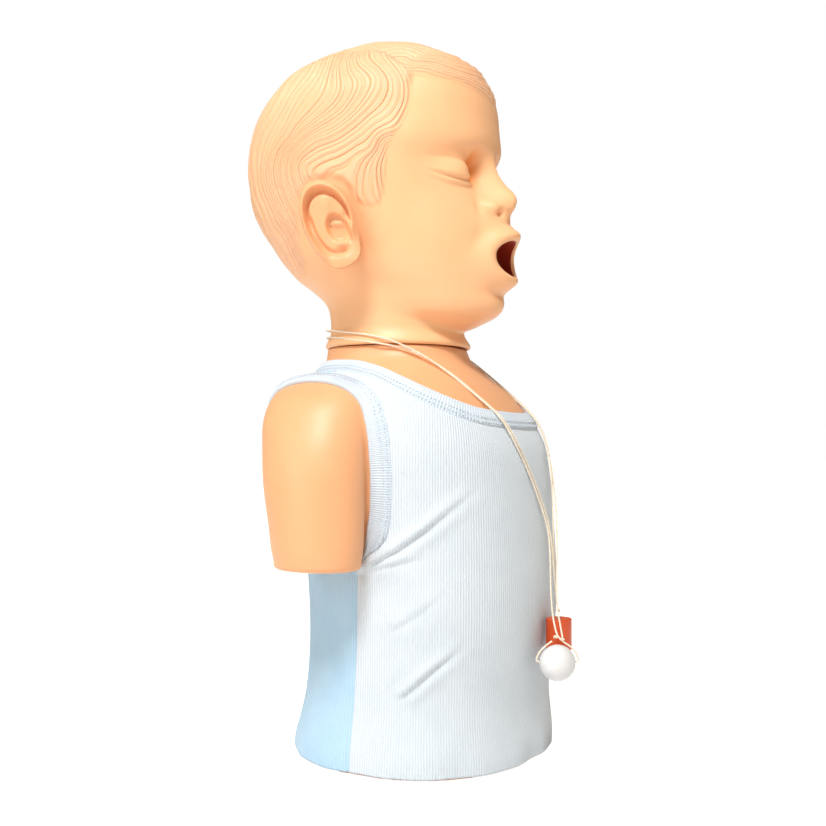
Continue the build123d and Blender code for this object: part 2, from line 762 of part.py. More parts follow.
with BuildPart() as neck_binding:
    add(cloth_bands)
    side_outline(*BAND_LINE, *NECKLINE[::-1])
    for side in (-1, 1):
        armhole(side, ARM_BAND_W, Mode.SUBTRACT)
finish(neck_binding, "neck_binding")

for side, side_name in ((-1, "right"), (1, "left")):
    with BuildPart() as armhole_binding:
        add(cloth_bands)
        armhole(side, ARM_BAND_W, Mode.INTERSECT)
    finish(armhole_binding, f"armhole_binding_{side_name}")

# Practice foreign bodies
view_side = Vector(0.454, -0.891, 0)
with BuildPart() as white_ball:
    with Locations(at(*BALL_AT)):
        Sphere(BALL_R)
    with Locations(Location(Plane(at(*BALL_AT), z_dir=view_side))):
        Cylinder(BORE_R, 3 * BALL_R, mode=Mode.SUBTRACT)
finish(white_ball, "white_ball")

with BuildPart() as red_plug:
    with Locations(at(*PLUG_AT)):
        Cylinder(PLUG_R, PLUG_L)
        Cylinder(BORE_R, 2 * PLUG_L, mode=Mode.SUBTRACT)
    chamfer(red_plug.edges().filter_by(GeomType.CIRCLE).filter_by(lambda e: e.radius > BORE_R), 0.5)
finish(red_plug, "red_plug")


def beside_ball(out, up):
    """A place in the upright plane of the ball's bore, given from the ball's middle."""
    return at(*BALL_AT) + view_side * out + Vector(0, 0, up)


# The near strands run up the manikin's right, round the back of the neck and down its left
BALL_ROUTE = (
    (-4.0, -95.2, 149.0),
    (-6.5, -91.2, 166.0),
    (-16.5, -86.0, 190.0),
    (-27.8, -80.2, 211.0),
    (-31.4, -74.6, 223.6),
    (-33.6, -68.0, 232.4),
    (-35.7, -53.4, 244.4),
    (-36.8, -37.2, 257.6),
    (-41.9, -17.4, 272.0),
    (-50.0, 1.2, 281.2),
    (-52.2, 17.0, 285.2),
    (-49.3, 41.0, 288.5),
    (-35.1, 62.5, 292.0),
    (-12.7, 74.5, 294.0),
    (12.7, 74.5, 294.0),
    (35.1, 62.5, 292.0),
    (49.3, 41.0, 288.5),
    (52.2, 17.0, 285.2),
    (50.0, 1.2, 281.2),
    (41.9, -17.4, 272.0),
    (36.8, -37.2, 257.6),
    (35.9, -53.4, 244.4),
    (33.8, -68.0, 232.4),
    (32.0, -74.8, 223.4),
    (28.4, -81.0, 211.0),
    (20.5, -88.0, 192.0),
    (9.5, -95.6, 159.0),
    (-4.5, -100.0, 103.0),
    (-12.0, -104.9, 94.0),
)
PLUG_ROUTE = (
    (1.0, -96.0, 124.0),
    (-0.5, -94.8, 150.0),
    (-4.0, -91.3, 168.0),
    (-14.0, -86.5, 190.0),
    (-25.0, -81.2, 210.5),
    (-28.6, -75.8, 222.2),
    (-31.2, -69.4, 231.0),
    (-33.4, -54.4, 243.8),
    (-34.4, -38.2, 257.4),
    (-38.8, -17.5, 270.6),
    (-46.4, -3.0, 276.6),
    (-51.6, 10.0, 279.0),
    (-50.6, 36.0, 283.6),
    (-37.7, 59.6, 286.6),
    (-14.0, 74.2, 288.4),
    (14.0, 74.2, 288.4),
    (37.7, 59.6, 286.6),
    (50.6, 36.0, 283.6),
    (51.6, 10.0, 279.0),
    (46.4, -3.0, 276.6),
    (38.8, -17.5, 270.6),
    (34.4, -38.2, 257.4),
    (33.6, -54.4, 243.8),
    (31.4, -69.4, 231.0),
    (29.2, -76.0, 222.0),
    (25.9, -82.0, 210.0),
    (17.5, -88.6, 191.0),
    (7.0, -93.5, 156.0),
)


def cord(points, name):
    """A string along straight runs joined by tangent arcs, each as round as its runs allow."""
    points = [Vector(*p) for p in points]
    turns = []
    for before, here, after in zip(points, points[1:], points[2:]):
        turn = math.radians((here - before).get_angle(after - here))
        turns.append(round(0.45 * min((here - before).length, (after - here).length) / math.tan(turn / 2), 2))
    with BuildPart() as string:
        route = bent_tube(points, CORD_D / 2, turns)
    finish(string, name)
    length = sum(edge.length for edge in route.edges())
    print(name, "length", round(length, 1), "radii", turns)
    print(name, "bar volume", round(length * math.pi * CORD_D**2 / 4, 1))


knot_at = beside_ball(-1.2, 17.0)
hitch_at = beside_ball(3.3, 15.2)
cord(
    [
        beside_ball(-3.6, 14.2),
        beside_ball(-10.2, 9.6),
        beside_ball(-13.8, 3.4),
        beside_ball(-13.6, 0),
        beside_ball(13.6, 0),
        beside_ball(13.8, 3.4),
        beside_ball(10.2, 9.6),
        beside_ball(1.6, 15.2),
        knot_at + Vector(0.4, 0.2, 3.0),
        at(-13.4, -99.3, 105.0),
        *[at(*p) for p in BALL_ROUTE],
        hitch_at + Vector(0, 0, 0.9),
    ],
    "ball_cord",
)
plug_top = at(*PLUG_AT) + Vector(0, 0, PLUG_L / 2)
plug_foot = at(*PLUG_AT) - Vector(0, 0, PLUG_L / 2)
cord(
    [
        plug_foot - Vector(0, 0, 2.2),
        plug_top + Vector(0, 0, 3.6),
        *[at(*p) for p in PLUG_ROUTE],
        at(4.0, -95.6, 112.0),
        plug_top + Vector(0.9, 1.0, 6.0),
    ],
    "plug_cord",
)

with BuildPart() as ball_knots:
    with Locations(knot_at, hitch_at):
        Sphere(KNOT_R)
finish(ball_knots, "ball_knots")

with BuildPart() as plug_knots:
    with Locations(plug_foot - Vector(0, 0, KNOT_R + FIT_GAP), plug_top + Vector(0.4, 0.4, 5.2)):
        Sphere(KNOT_R)
finish(plug_knots, "plug_knots")
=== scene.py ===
"""The choking child manikin, dressed for its picture.

Sizes are written in millimetres from the torso's upright axis, as in the part's own source, and
turned to metres in the shared frame by place().
"""

import math

import bpy
import numpy as np
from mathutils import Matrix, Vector
from mathutils.bvhtree import BVHTree


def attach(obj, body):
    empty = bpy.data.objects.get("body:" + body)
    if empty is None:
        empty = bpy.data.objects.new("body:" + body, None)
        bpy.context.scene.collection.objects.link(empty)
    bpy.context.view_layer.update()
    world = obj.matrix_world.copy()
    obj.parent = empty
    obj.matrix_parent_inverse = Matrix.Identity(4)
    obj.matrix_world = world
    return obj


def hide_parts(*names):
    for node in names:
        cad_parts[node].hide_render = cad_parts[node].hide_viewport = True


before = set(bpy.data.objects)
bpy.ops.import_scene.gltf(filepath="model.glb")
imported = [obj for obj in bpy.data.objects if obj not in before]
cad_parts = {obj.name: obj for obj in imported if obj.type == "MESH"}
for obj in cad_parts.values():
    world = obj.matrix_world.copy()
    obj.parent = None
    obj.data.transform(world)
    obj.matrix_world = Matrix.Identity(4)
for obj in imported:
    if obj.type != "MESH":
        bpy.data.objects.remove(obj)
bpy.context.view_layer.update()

AXIS_Y = -9.0
NECK_Y = 23.0


def place(x, y, z):
    """A place in the shared frame, in metres."""
    return Vector((x / 1000, (AXIS_Y + y) / 1000, z / 1000))


# Camera and cords come first

VIEW_AZ = math.radians(-63.0)
CAMERA_DISTANCE = 740.0
CAMERA_Z = 211.0

camera_data = bpy.data.cameras.new("camera")
camera = bpy.data.objects.new("camera", camera_data)
bpy.context.scene.collection.objects.link(camera)
camera.location = place(math.sin(VIEW_AZ) * CAMERA_DISTANCE, -math.cos(VIEW_AZ) * CAMERA_DISTANCE, CAMERA_Z)
camera.rotation_euler = (math.radians(90), 0, VIEW_AZ)
camera_data.sensor_width = 36
camera_data.lens = 45.15
camera_data.shift_x = -0.0157
camera_data.shift_y = 0.0375
bpy.context.scene.camera = camera
bpy.context.scene.view_settings.view_transform = "Standard"

BALL_AT = Vector((-19.8, -106.2, 68.5))
BALL_SIDE = Vector((0.454, -0.891, 0))
PLUG_AT = Vector((-1.0, -100.4, 84.0))
PLUG_HALF = 10.5
STRING_RADIUS = 0.6
POINT_RADIUS = 0.002


def beside_ball(out, up):
    """A place in the upright plane of the ball's bore, given from the ball's middle."""
    return tuple(BALL_AT + BALL_SIDE * out + Vector((0, 0, up)))


def beside_plug(x, y, z):
    """A place given from the plug's middle."""
    return tuple(PLUG_AT + Vector((x, y, z)))


def round_neck(right):
    """A string's way behind the neck: the right half's places, and the same mirrored."""
    return [*right, *((-x, y, z) for x, y, z in reversed(right))]


BALL_ROUTE = [
    *(beside_ball(out, up) for out, up in (
        (-3.6, 14.2), (-10.2, 9.6), (-13.8, 3.4), (-13.6, 0), (13.6, 0), (13.8, 3.4), (10.2, 9.6), (1.6, 15.2))),
    tuple(Vector(beside_ball(-1.2, 17.0)) + Vector((0.4, 0.2, 3.0))),
    (-13.4, -99.3, 105.0), (-4.0, -95.2, 149.0), (-6.5, -91.2, 166.0), (-16.5, -86.0, 190.0),
    (-27.8, -80.2, 211.0), (-31.4, -74.6, 223.6), (-33.6, -68.0, 232.4), (-35.7, -53.4, 244.4),
    *round_neck([
        (-36.8, -37.2, 257.6), (-41.9, -17.4, 272.0), (-50.0, 1.2, 281.2), (-52.2, 17.0, 285.2),
        (-49.3, 41.0, 288.5), (-35.1, 62.5, 292.0), (-12.7, 74.5, 294.0)]),
    (35.9, -53.4, 244.4), (33.8, -68.0, 232.4), (32.0, -74.8, 223.4), (28.4, -81.0, 211.0),
    (20.5, -88.0, 192.0), (9.5, -95.6, 159.0), (-4.5, -100.0, 103.0), (-12.0, -104.9, 94.0),
    beside_ball(3.3, 16.1),
]
PLUG_ROUTE = [
    beside_plug(0, 0, -PLUG_HALF - 2.2),
    beside_plug(0, 0, PLUG_HALF + 3.6),
    (1.0, -96.0, 124.0), (-0.5, -94.8, 150.0), (-4.0, -91.3, 168.0), (-14.0, -86.5, 190.0),
    (-25.0, -81.2, 210.5), (-28.6, -75.8, 222.2), (-31.2, -69.4, 231.0), (-33.4, -54.4, 243.8),
    *round_neck([
        (-34.4, -38.2, 257.4), (-38.8, -17.5, 270.6), (-46.4, -3.0, 276.6), (-51.6, 10.0, 279.0),
        (-50.6, 36.0, 283.6), (-37.7, 59.6, 286.6), (-14.0, 74.2, 288.4)]),
    (33.6, -54.4, 243.8), (31.4, -69.4, 231.0), (29.2, -76.0, 222.0), (25.9, -82.0, 210.0),
    (17.5, -88.6, 191.0), (7.0, -93.5, 156.0), (4.0, -95.6, 112.0),
    beside_plug(0.9, 1.0, PLUG_HALF + 6.0),
]


def twine_curve(name, route, radius, closed=False):
    """A strand whose centreline is one smooth spline; small point radii keep its box tight."""
    data = bpy.data.curves.new(name, "CURVE")
    data.dimensions = "3D"
    data.bevel_depth = radius / 1000 / POINT_RADIUS
    data.bevel_resolution = 3
    data.resolution_u = 12 if closed else 10
    data.use_fill_caps = True
    data.materials.append(TWINE)
    spline = data.splines.new("NURBS")
    spline.points.add(len(route) - 1)
    for point, spot in zip(spline.points, route):
        point.co = (*place(*spot), 1)
        point.radius = POINT_RADIUS
    spline.order_u = 4 if closed else 3
    spline.use_cyclic_u = closed
    spline.use_endpoint_u = not closed
    strand = bpy.data.objects.new(name, data)
    bpy.context.scene.collection.objects.link(strand)
    return strand


def spline_length(string):
    """The centreline's length in metres."""
    bevel = string.data.bevel_depth
    string.data.bevel_depth = 0
    line = bpy.data.meshes.new_from_object(string)
    string.data.bevel_depth = bevel
    points = [v.co.copy() for v in line.vertices]
    bpy.data.meshes.remove(line)
    return sum((b - a).length for a, b in zip(points, points[1:]))


# Materials


class Nodes:
    """A material's node tree, with short calls for the nodes used here."""

    def __init__(self, name):
        self.material = bpy.data.materials.new(name)
        self.material.use_nodes = True
        self.tree = self.material.node_tree
        self.shader = self.tree.nodes["Principled BSDF"]

    def add(self, kind, **settings):
        """A node, with its sockets and settings set by name."""
        node = self.tree.nodes.new(kind)
        for key, value in settings.items():
            if key in node.inputs:
                node.inputs[key].default_value = value
            else:
                setattr(node, key, value)
        return node

    def feed(self, socket, source):
        """Links a socket to another, or sets it to a plain value."""
        if isinstance(source, bpy.types.NodeSocket):
            self.tree.links.new(source, socket)
        else:
            socket.default_value = source

    def value(self, **sockets):
        """Feeds the shader's own sockets."""
        for key, source in sockets.items():
            self.feed(self.shader.inputs[key.replace("_", " ")], source)

    def math(self, operation, *sources):
        """The result of a sum over sockets and plain numbers."""
        node = self.add("ShaderNodeMath", operation=operation)
        for socket, source in zip(node.inputs, sources):
            self.feed(socket, source)
        return node.outputs[0]

    def mix(self, share, under, over, blend="MIX"):
        """One colour over another."""
        node = self.add("ShaderNodeMix", data_type="RGBA", blend_type=blend)
        for index, source in ((0, share), (6, under), (7, over)):
            self.feed(node.inputs[index], source)
        return node.outputs[2]

    def carried(self, name):
        """A value that each vertex of the piece carries."""
        return self.add("ShaderNodeAttribute", attribute_name=name).outputs["Fac"]

    def object_noise(self, scale, detail, rough, stretch=(1, 1, 1)):
        """Noise on the piece's own coordinates."""
        mapping = self.add("ShaderNodeMapping", Scale=stretch)
        self.feed(mapping.inputs["Vector"], self.add("ShaderNodeTexCoord").outputs["Object"])
        noise = self.add("ShaderNodeTexNoise", Scale=scale, Detail=detail, Roughness=rough)
        self.feed(noise.inputs["Vector"], mapping.outputs["Vector"])
        return noise.outputs["Fac"]

    def colours(self, source, low, high, start=0.3, end=0.7):
        """A blend from one colour to another along a value."""
        ramp = self.add("ShaderNodeValToRGB")
        for element, at, colour in zip(ramp.color_ramp.elements, (start, end), (low, high)):
            element.position = at
            element.color = (*colour, 1)
        self.feed(ramp.inputs["Fac"], source)
        return ramp.outputs["Color"]

    def bump(self, height, strength, distance, below=None):
        """Surface detail from a value, over an earlier one if given."""
        bump = self.add("ShaderNodeBump", Strength=strength, Distance=distance)
        self.feed(bump.inputs["Height"], height)
        if below is not None:
            self.feed(bump.inputs["Normal"], below)
        self.value(Normal=bump.outputs["Normal"])
        return bump.outputs["Normal"]


def vinyl_material(name, low, high, combed=False):
    """Soft skin-coloured vinyl, slightly uneven in colour and sheen, with moulded hair if combed; combed, it also
    gets painted highlight on the hair's ridges and painted shade in the face's hollows.
    """
    m = Nodes(name)
    colour = m.colours(m.object_noise(18.0, 3.0, 0.5), low, high)
    m.value(Roughness=0.45, Subsurface_Weight=0.15, Subsurface_Scale=0.010, Subsurface_Radius=(1.0, 0.42, 0.18),
            Specular_IOR_Level=0.42)
    surface = m.bump(m.object_noise(60.0, 3.0, 0.5), 0.10, 0.001)
    surface = m.bump(m.object_noise(900.0, 2.0, 0.6), 0.12, 0.0003, surface)
    if combed:
        strand, hair = m.carried("strand"), m.carried("hair")
        waves = []
        for period, power in ((LOCK, 0.6), (LOCK / 2.37, 0.7)):
            wave = m.math("ABSOLUTE", m.math("SINE", m.math("MULTIPLY", strand, math.pi / period)))
            waves.append(m.math("MULTIPLY", m.math("POWER", wave, power), hair))
        surface = m.bump(waves[0], 0.5, 0.0014, surface)
        m.bump(waves[1], 0.42, 0.0008, surface)
        # Painted highlight: the hair's ridges are coloured paler, as if lit, and the grooves keep the plain vinyl.
        ridge_highlight = m.colours(waves[0], (0.0, 0.0, 0.0), (0.55, 0.55, 0.55), 0.0, 1.0)
        colour = m.mix(ridge_highlight, colour, HAIR_RIDGE_HIGHLIGHT)
        # Painted shade: a deeper orange in the face's hollows, where shade falls.
        colour = m.mix(m.carried("hollow"), colour, DEEP_HOLLOW_SHADE)
    m.value(Base_Color=colour)
    return m.material


def knit_material(name, low, high, ribs, rows, back=None):
    """Fine rib knit that follows the piece's own UV map, with a second colour for the back panel."""
    m = Nodes(name)
    mapping = m.add("ShaderNodeMapping", Scale=(ribs, rows, 1))
    m.feed(mapping.inputs["Vector"], m.add("ShaderNodeUVMap", uv_map="UVMap").outputs["UV"])
    waves = []
    for direction, waver, detail in (("X", 0.35, 1.0), ("Y", 0.6, 2.0)):
        wave = m.add("ShaderNodeTexWave", wave_type="BANDS", bands_direction=direction, Scale=1.0,
                     Distortion=waver, Detail=detail)
        m.feed(wave.inputs["Vector"], mapping.outputs["Vector"])
        waves.append(wave.outputs["Fac"])
    knit = m.math("MULTIPLY_ADD", waves[1], 0.35, waves[0])
    cloud = m.object_noise(30.0, 5.0, 0.6)
    colour = m.colours(cloud, low, high, 0.3, 0.72)
    if back:
        behind = m.math("GREATER_THAN", m.carried("panel"), 0.0)
        colour = m.mix(behind, colour, m.colours(cloud, *back, 0.3, 0.72))
    shade = m.colours(knit, (0.84, 0.86, 0.90), (1.0, 1.0, 1.0), 0.0, 1.0)
    m.value(Base_Color=m.mix(1.0, colour, shade, "MULTIPLY"), Roughness=0.9, Sheen_Weight=0.25,
            Sheen_Roughness=0.5, Specular_IOR_Level=0.2)
    surface = m.bump(knit, 0.5, 0.0006)
    m.bump(m.object_noise(1400.0, 3.0, 0.6), 0.18, 0.0003, surface)
    return m.material


def twine_material():
    """Cream cotton string with its twist."""
    m = Nodes("cotton_string")
    colour = m.colours(m.object_noise(500.0, 4.0, 0.6), (0.74, 0.63, 0.48), (0.86, 0.77, 0.63))
    twist = m.add("ShaderNodeTexWave", wave_type="BANDS", bands_direction="DIAGONAL", Scale=320.0)
    m.feed(twist.inputs["Vector"], m.add("ShaderNodeTexCoord").outputs["Object"])
    m.value(Base_Color=colour, Roughness=0.85, Sheen_Weight=0.2)
    m.bump(twist.outputs["Fac"], 0.5, 0.0003)
    return m.material


def plastic_material(name, low, high, rough, coat=0.0):
    """Moulded plastic or rubber with a faint grain."""
    m = Nodes(name)
    colour = m.colours(m.object_noise(45.0, 4.0, 0.55), low, high)
    m.value(Base_Color=colour, Roughness=rough, Coat_Weight=coat, Coat_Roughness=0.12)
    m.bump(m.object_noise(400.0, 3.0, 0.6), 0.25, 0.00015)
    return m.material


def steel_material():
    """Plain steel with fine turning marks."""
    m = Nodes("plain_steel")
    marks = m.object_noise(900.0, 3.0, 0.6, (1, 1, 6))
    m.value(Base_Color=m.colours(marks, (0.52, 0.53, 0.55), (0.68, 0.69, 0.71)), Metallic=1.0, Roughness=0.34)
    m.bump(marks, 0.12, 0.0001)
    return m.material


# Painted highlight colour for the hair's ridges.
HAIR_RIDGE_HIGHLIGHT = (0.90, 0.52, 0.33, 1)
# Painted shade colour for the face's hollows.
DEEP_HOLLOW_SHADE = (0.80, 0.27, 0.05, 1)
LOCK = 5.4
VINYL = vinyl_material("soft_vinyl", (0.79, 0.385, 0.185), (0.83, 0.42, 0.21))
HEAD_VINYL = vinyl_material("head_vinyl", (0.86, 0.46, 0.23), (0.90, 0.505, 0.265), True)
VEST_KNIT = knit_material("vest_knit", (0.65, 0.72, 0.775), (0.71, 0.775, 0.825), 104.0, 72.0,
                          ((0.43, 0.64, 0.81), (0.49, 0.70, 0.86)))
STITCH_THREAD = knit_material("stitch_thread", (0.70, 0.76, 0.80), (0.76, 0.81, 0.84), 60.0, 60.0)
BAND_KNIT = knit_material("rib_band_knit", (0.60, 0.69, 0.77), (0.68, 0.76, 0.83), 88.0, 3.0)
TWINE = twine_material()
BALL_PLASTIC = plastic_material("white_plastic", (0.68, 0.68, 0.69), (0.72, 0.72, 0.72), 0.42)
PLUG_PLASTIC = plastic_material("orange_plastic", (0.52, 0.05, 0.004), (0.66, 0.08, 0.006), 0.42, 0.05)
# Painted shade: a dark red standing in for the shade deep inside the mouth and throat.
THROAT_PAINTED_SHADE = plastic_material("throat_rubber", (0.24, 0.014, 0.005), (0.34, 0.026, 0.007), 0.5, 0.1)
PLATE_PLASTIC = plastic_material("grey_plate", (0.46, 0.46, 0.45), (0.54, 0.54, 0.52), 0.5)
RIB_PLASTIC = plastic_material("rib_plastic", (0.72, 0.69, 0.60), (0.80, 0.77, 0.68), 0.45)
DARK_RUBBER = plastic_material("bladder_rubber", (0.035, 0.035, 0.04), (0.06, 0.06, 0.065), 0.55)
HOSE_RUBBER = plastic_material("hose_rubber", (0.09, 0.09, 0.10), (0.14, 0.14, 0.15), 0.5)
STEEL = steel_material()

CARRIED_OVER = {
    "throat_tube": THROAT_PAINTED_SHADE,
    "neck_ring": PLATE_PLASTIC,
    "airway_hose": HOSE_RUBBER,
    "hose_clip_upper": STEEL,
    "hose_clip_lower": STEEL,
    "bladder_fitting": PLATE_PLASTIC,
    "air_bladder": DARK_RUBBER,
    "back_board": PLATE_PLASTIC,
    "rib_plate": RIB_PLASTIC,
    "base_plate": PLATE_PLASTIC,
    "board_screws": STEEL,
    "base_screws": STEEL,
}
for node, material in CARRIED_OVER.items():
    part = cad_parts[node]
    part.data.materials.clear()
    part.data.materials.append(material)


# Shapes shared by the pieces


def between(levels, heights):
    """Each column of a level list at many heights, on smooth curves through its rows."""
    rows = np.array(levels)
    z = np.clip(heights, rows[0, 0], rows[-1, 0])
    i = np.clip(np.searchsorted(rows[:, 0], z), 1, len(rows) - 1)
    last = len(rows) - 1
    p = [rows[np.clip(i + k, 0, last)] for k in (-2, -1, 0, 1)]
    span = p[2][:, :1] - p[1][:, :1]
    t = (z[:, None] - p[1][:, :1]) / span
    slope_a = (p[2] - p[0]) / np.maximum(p[2][:, :1] - p[0][:, :1], 1e-9) * span
    slope_b = (p[3] - p[1]) / np.maximum(p[3][:, :1] - p[1][:, :1], 1e-9) * span
    a, b = p[1], p[2]
    curve = (2 * a - 2 * b + slope_a + slope_b) * t**3
    curve += (-3 * a + 3 * b - 2 * slope_a - slope_b) * t**2 + slope_a * t + a
    return curve[:, 1:]


def soft(distance):
    """One at the middle of a form and nothing far from it."""
    return np.exp(-(distance**2))


def step(low, high, value):
    """Rises smoothly from nought to one."""
    t = np.clip((value - low) / (high - low), 0, 1)
    return t * t * (3 - 2 * t)


def deselect():
    """Clears the selection, in object mode."""
    if bpy.context.object and bpy.context.object.mode != "OBJECT":
        bpy.ops.object.mode_set(mode="OBJECT")
    bpy.ops.object.select_all(action="DESELECT")


def only(piece):
    """Selects one piece."""
    deselect()
    piece.select_set(True)
    bpy.context.view_layer.objects.active = piece


def on_mesh(piece, *steps):
    """Takes steps in edit mode with the whole of a piece selected."""
    only(piece)
    bpy.ops.object.mode_set(mode="EDIT")
    bpy.ops.mesh.select_all(action="SELECT")
    for take in steps:
        take()
    bpy.ops.object.mode_set(mode="OBJECT")


def remove_vertices(piece, chosen):
    """Deletes the chosen vertices and leaves the piece in edit mode."""
    only(piece)
    bpy.ops.object.mode_set(mode="EDIT")
    bpy.ops.mesh.select_mode(type="VERT")
    bpy.ops.mesh.select_all(action="DESELECT")
    bpy.ops.object.mode_set(mode="OBJECT")
    piece.data.vertices.foreach_set("select", chosen)
    bpy.ops.object.mode_set(mode="EDIT")
    bpy.ops.mesh.delete(type="VERT")


def vertex_places(piece):
    """Every vertex's place, in millimetres from the torso's axis."""
    co = np.zeros(len(piece.data.vertices) * 3)
    piece.data.vertices.foreach_get("co", co)
    return co.reshape(-1, 3) * 1000 - (0, AXIS_Y, 0)


def carry(piece, **values):
    """Stores values at each vertex, for the materials."""
    for name, each in values.items():
        attribute = piece.data.attributes.new(name, "FLOAT", "POINT")
        attribute.data.foreach_set("value", each.astype(float))


def evened(ring_values, times):
    """A closed ring of values, each blended with its neighbours that many times."""
    for _ in range(times):
        ring_values = (np.roll(ring_values, 1, 0) + 2 * ring_values + np.roll(ring_values, -1, 0)) / 4
    return ring_values


def forms(across, up, table):
    """The sum of soft round forms: middle across and up, half width, half height, height."""
    return sum(
        out * soft((across - a) / half_w) * soft((up - u) / half_h) for a, u, half_w, half_h, out in table)


def web(name, points, material):
    """A grid primitive laid over a table of places, and closed where its two ends meet."""
    points = np.asarray(points, float)
    down, across = points.shape[:2]
    deselect()
    bpy.ops.mesh.primitive_grid_add(x_subdivisions=across - 1, y_subdivisions=down - 1, size=1)
    piece = bpy.context.object
    piece.name = name
    flat = points.reshape(-1, 3) + (0, AXIS_Y, 0)
    piece.data.vertices.foreach_set("co", (flat / 1000).ravel())
    piece.data.update()
    on_mesh(piece, lambda: bpy.ops.mesh.remove_doubles(threshold=0.000002))
    bpy.ops.object.shade_smooth()
    piece.data.materials.append(material)
    return piece


def joined(piece, others):
    """Joins other pieces to one."""
    only(piece)
    for other in others:
        other.select_set(True)
    bpy.ops.object.join()


def add_modifier(piece, kind, **settings):
    """Adds a modifier and applies it."""
    only(piece)
    modifier = piece.modifiers.new(kind.lower(), kind)
    for key, value in settings.items():
        setattr(modifier, key, value)
    bpy.ops.object.modifier_apply(modifier=modifier.name)


# Torso and arm stubs

NECK_R = 48.5
TORSO_LEVELS = (
    (0, 92, -84, 85), (14, 91.5, -84.5, 83.5), (40, 88, -83, 78), (70, 87, -87, 75), (100, 87, -89, 75),
    (132, 88, -88, 77.5), (180, 91, -84.5, 84), (206, 92.5, -80.5, 84), (222, 92.5, -73, 83),
    (236, 89, -63.5, 80.5), (249, 79, -52, 77.5), (259, 65, -40.5, 75), (269, 52, -30, 72.5),
    (278.7, NECK_R, NECK_Y - NECK_R, NECK_Y + NECK_R),
)
TORSO_SQUARE = 2.25
TORSO_TOP = 278.7
ARM_FOOT = ((131.4, 13.0), (131.5, 5.0), (132.0, 2.0), (133.6, 0.3))
SKIN_VOXEL = 0.0014
RECESS_WALL, RECESS_DEPTH = 4.2, 6.2
ARM_LEVELS = (
    (134, 107, 22, 20, 25.5), (138.5, 107, 22.5, 24.2, 29.5), (160, 105.5, 24.5, 26, 32), (185, 102, 28, 28, 34.5),
    (207, 96.5, 31, 29, 36), (226, 88, 35, 29, 37.5), (240, 80, 37, 27, 35.5), (250, 71, 39, 21, 30),
    (257, 62, 40, 12, 19),
)


def ring(half, front, back, square, count):
    """Places round a level section, anticlockwise from the back, closed."""
    turn = np.linspace(-np.pi, np.pi, count + 1)
    s, c = np.sin(turn), np.cos(turn)
    x = np.sign(s) * np.abs(s) ** (2 / square) * half
    y = (front + back) / 2 - np.sign(c) * np.abs(c) ** (2 / square) * (back - front) / 2
    return x, y


def level(x, y, z):
    """Places side by side at one height."""
    return np.stack([x, y, np.full_like(x, z)], 1)


def stack(heights, sections, count, square):
    """A table of places from level sections of half width, front and back."""
    return [level(*ring(*section, square, count), z) for z, section in zip(heights, sections)]


def capped(rows):
    """Closes a stack at both ends, with rings shrinking to the middle."""
    ends = []
    for row in (rows[0], rows[-1]):
        middle = row.mean(0)
        ends.append([middle + (row - middle) * k for k in (0.0, 0.35, 0.7)])
    return ends[0] + list(rows) + ends[1][::-1]


def body_skin():
    """The torso and both arm stubs as one smooth skin, and the trunk alone for the cloth to lie on."""
    heights = np.concatenate([np.linspace(0, 200, 90), np.linspace(202, TORSO_TOP, 60)])
    sections = between(TORSO_LEVELS, heights)
    torso = web("torso_skin", capped(stack(heights, sections, 160, TORSO_SQUARE)), VINYL)
    trunk = BVHTree.FromObject(torso, bpy.context.evaluated_depsgraph_get())
    arms = []
    for side in (-1, 1):
        arm_heights = np.linspace(138.5, 257, 60)
        values = between(ARM_LEVELS, arm_heights)
        foot = [(z, values[0] - (0, 0, inward, inward)) for z, inward in ARM_FOOT]
        table = []
        for z, (cx, cy, hx, hy) in [*foot, *zip(arm_heights, values)]:
            x, y = ring(hx, cy - hy, cy + hy, 2.0, 90)
            table.append(level(x + side * cx, y, z))
        arms.append(web("arm_skin", capped(table), VINYL))
    joined(torso, arms)
    add_modifier(torso, "REMESH", mode="VOXEL", voxel_size=SKIN_VOXEL)
    add_modifier(torso, "SMOOTH", factor=0.5, iterations=4)
    bpy.ops.object.shade_smooth()
    return torso, trunk


def torso_rim(piece):
    """Opens the foot of the skin, so that the base plate shows in its recess."""
    half, front, back = TORSO_LEVELS[0][1:]
    x, y = ring(half - RECESS_WALL, front + RECESS_WALL, back - RECESS_WALL, TORSO_SQUARE, 120)
    cutter = web("recess_cutter", capped([level(x, y, z) for z in (-5.0, RECESS_DEPTH)]), VINYL)
    add_modifier(piece, "BOOLEAN", object=cutter, operation="DIFFERENCE", solver="FAST")
    bpy.data.objects.remove(cutter)


torso, trunk_tree = body_skin()
skin_tree = BVHTree.FromObject(torso, bpy.context.evaluated_depsgraph_get())


OUTSIDE, NEAR_SKIN = 0.2, 0.085


def skin_at(angle, z, tree=None):
    """The skin's place and normal at a height, out from the upright axis; angle 0 is the front."""
    tree = tree or skin_tree
    out = Vector((math.sin(angle), -math.cos(angle), 0))
    start = place(0, 0, z)
    hit, normal, _, _ = tree.ray_cast(start + out * OUTSIDE, -out)
    if hit is None:
        hit, normal, _, _ = tree.find_nearest(start + out * NEAR_SKIN)
    return hit, normal


def cloth_at(angle, z):
    """Where the cloth lies: on the trunk low down, over the shoulders higher up."""
    hit, normal = skin_at(angle, z)
    share = float(step(226, 240, z))
    if share < 1:
        low, low_normal = skin_at(angle, z, trunk_tree)
        hit, normal = low.lerp(hit, share), low_normal.lerp(normal, share).normalized()
    return hit, normal


def skin_near(point):
    """The skin's nearest place and normal."""
    hit, normal, _, _ = skin_tree.find_nearest(point)
    return hit, normal


# Vest

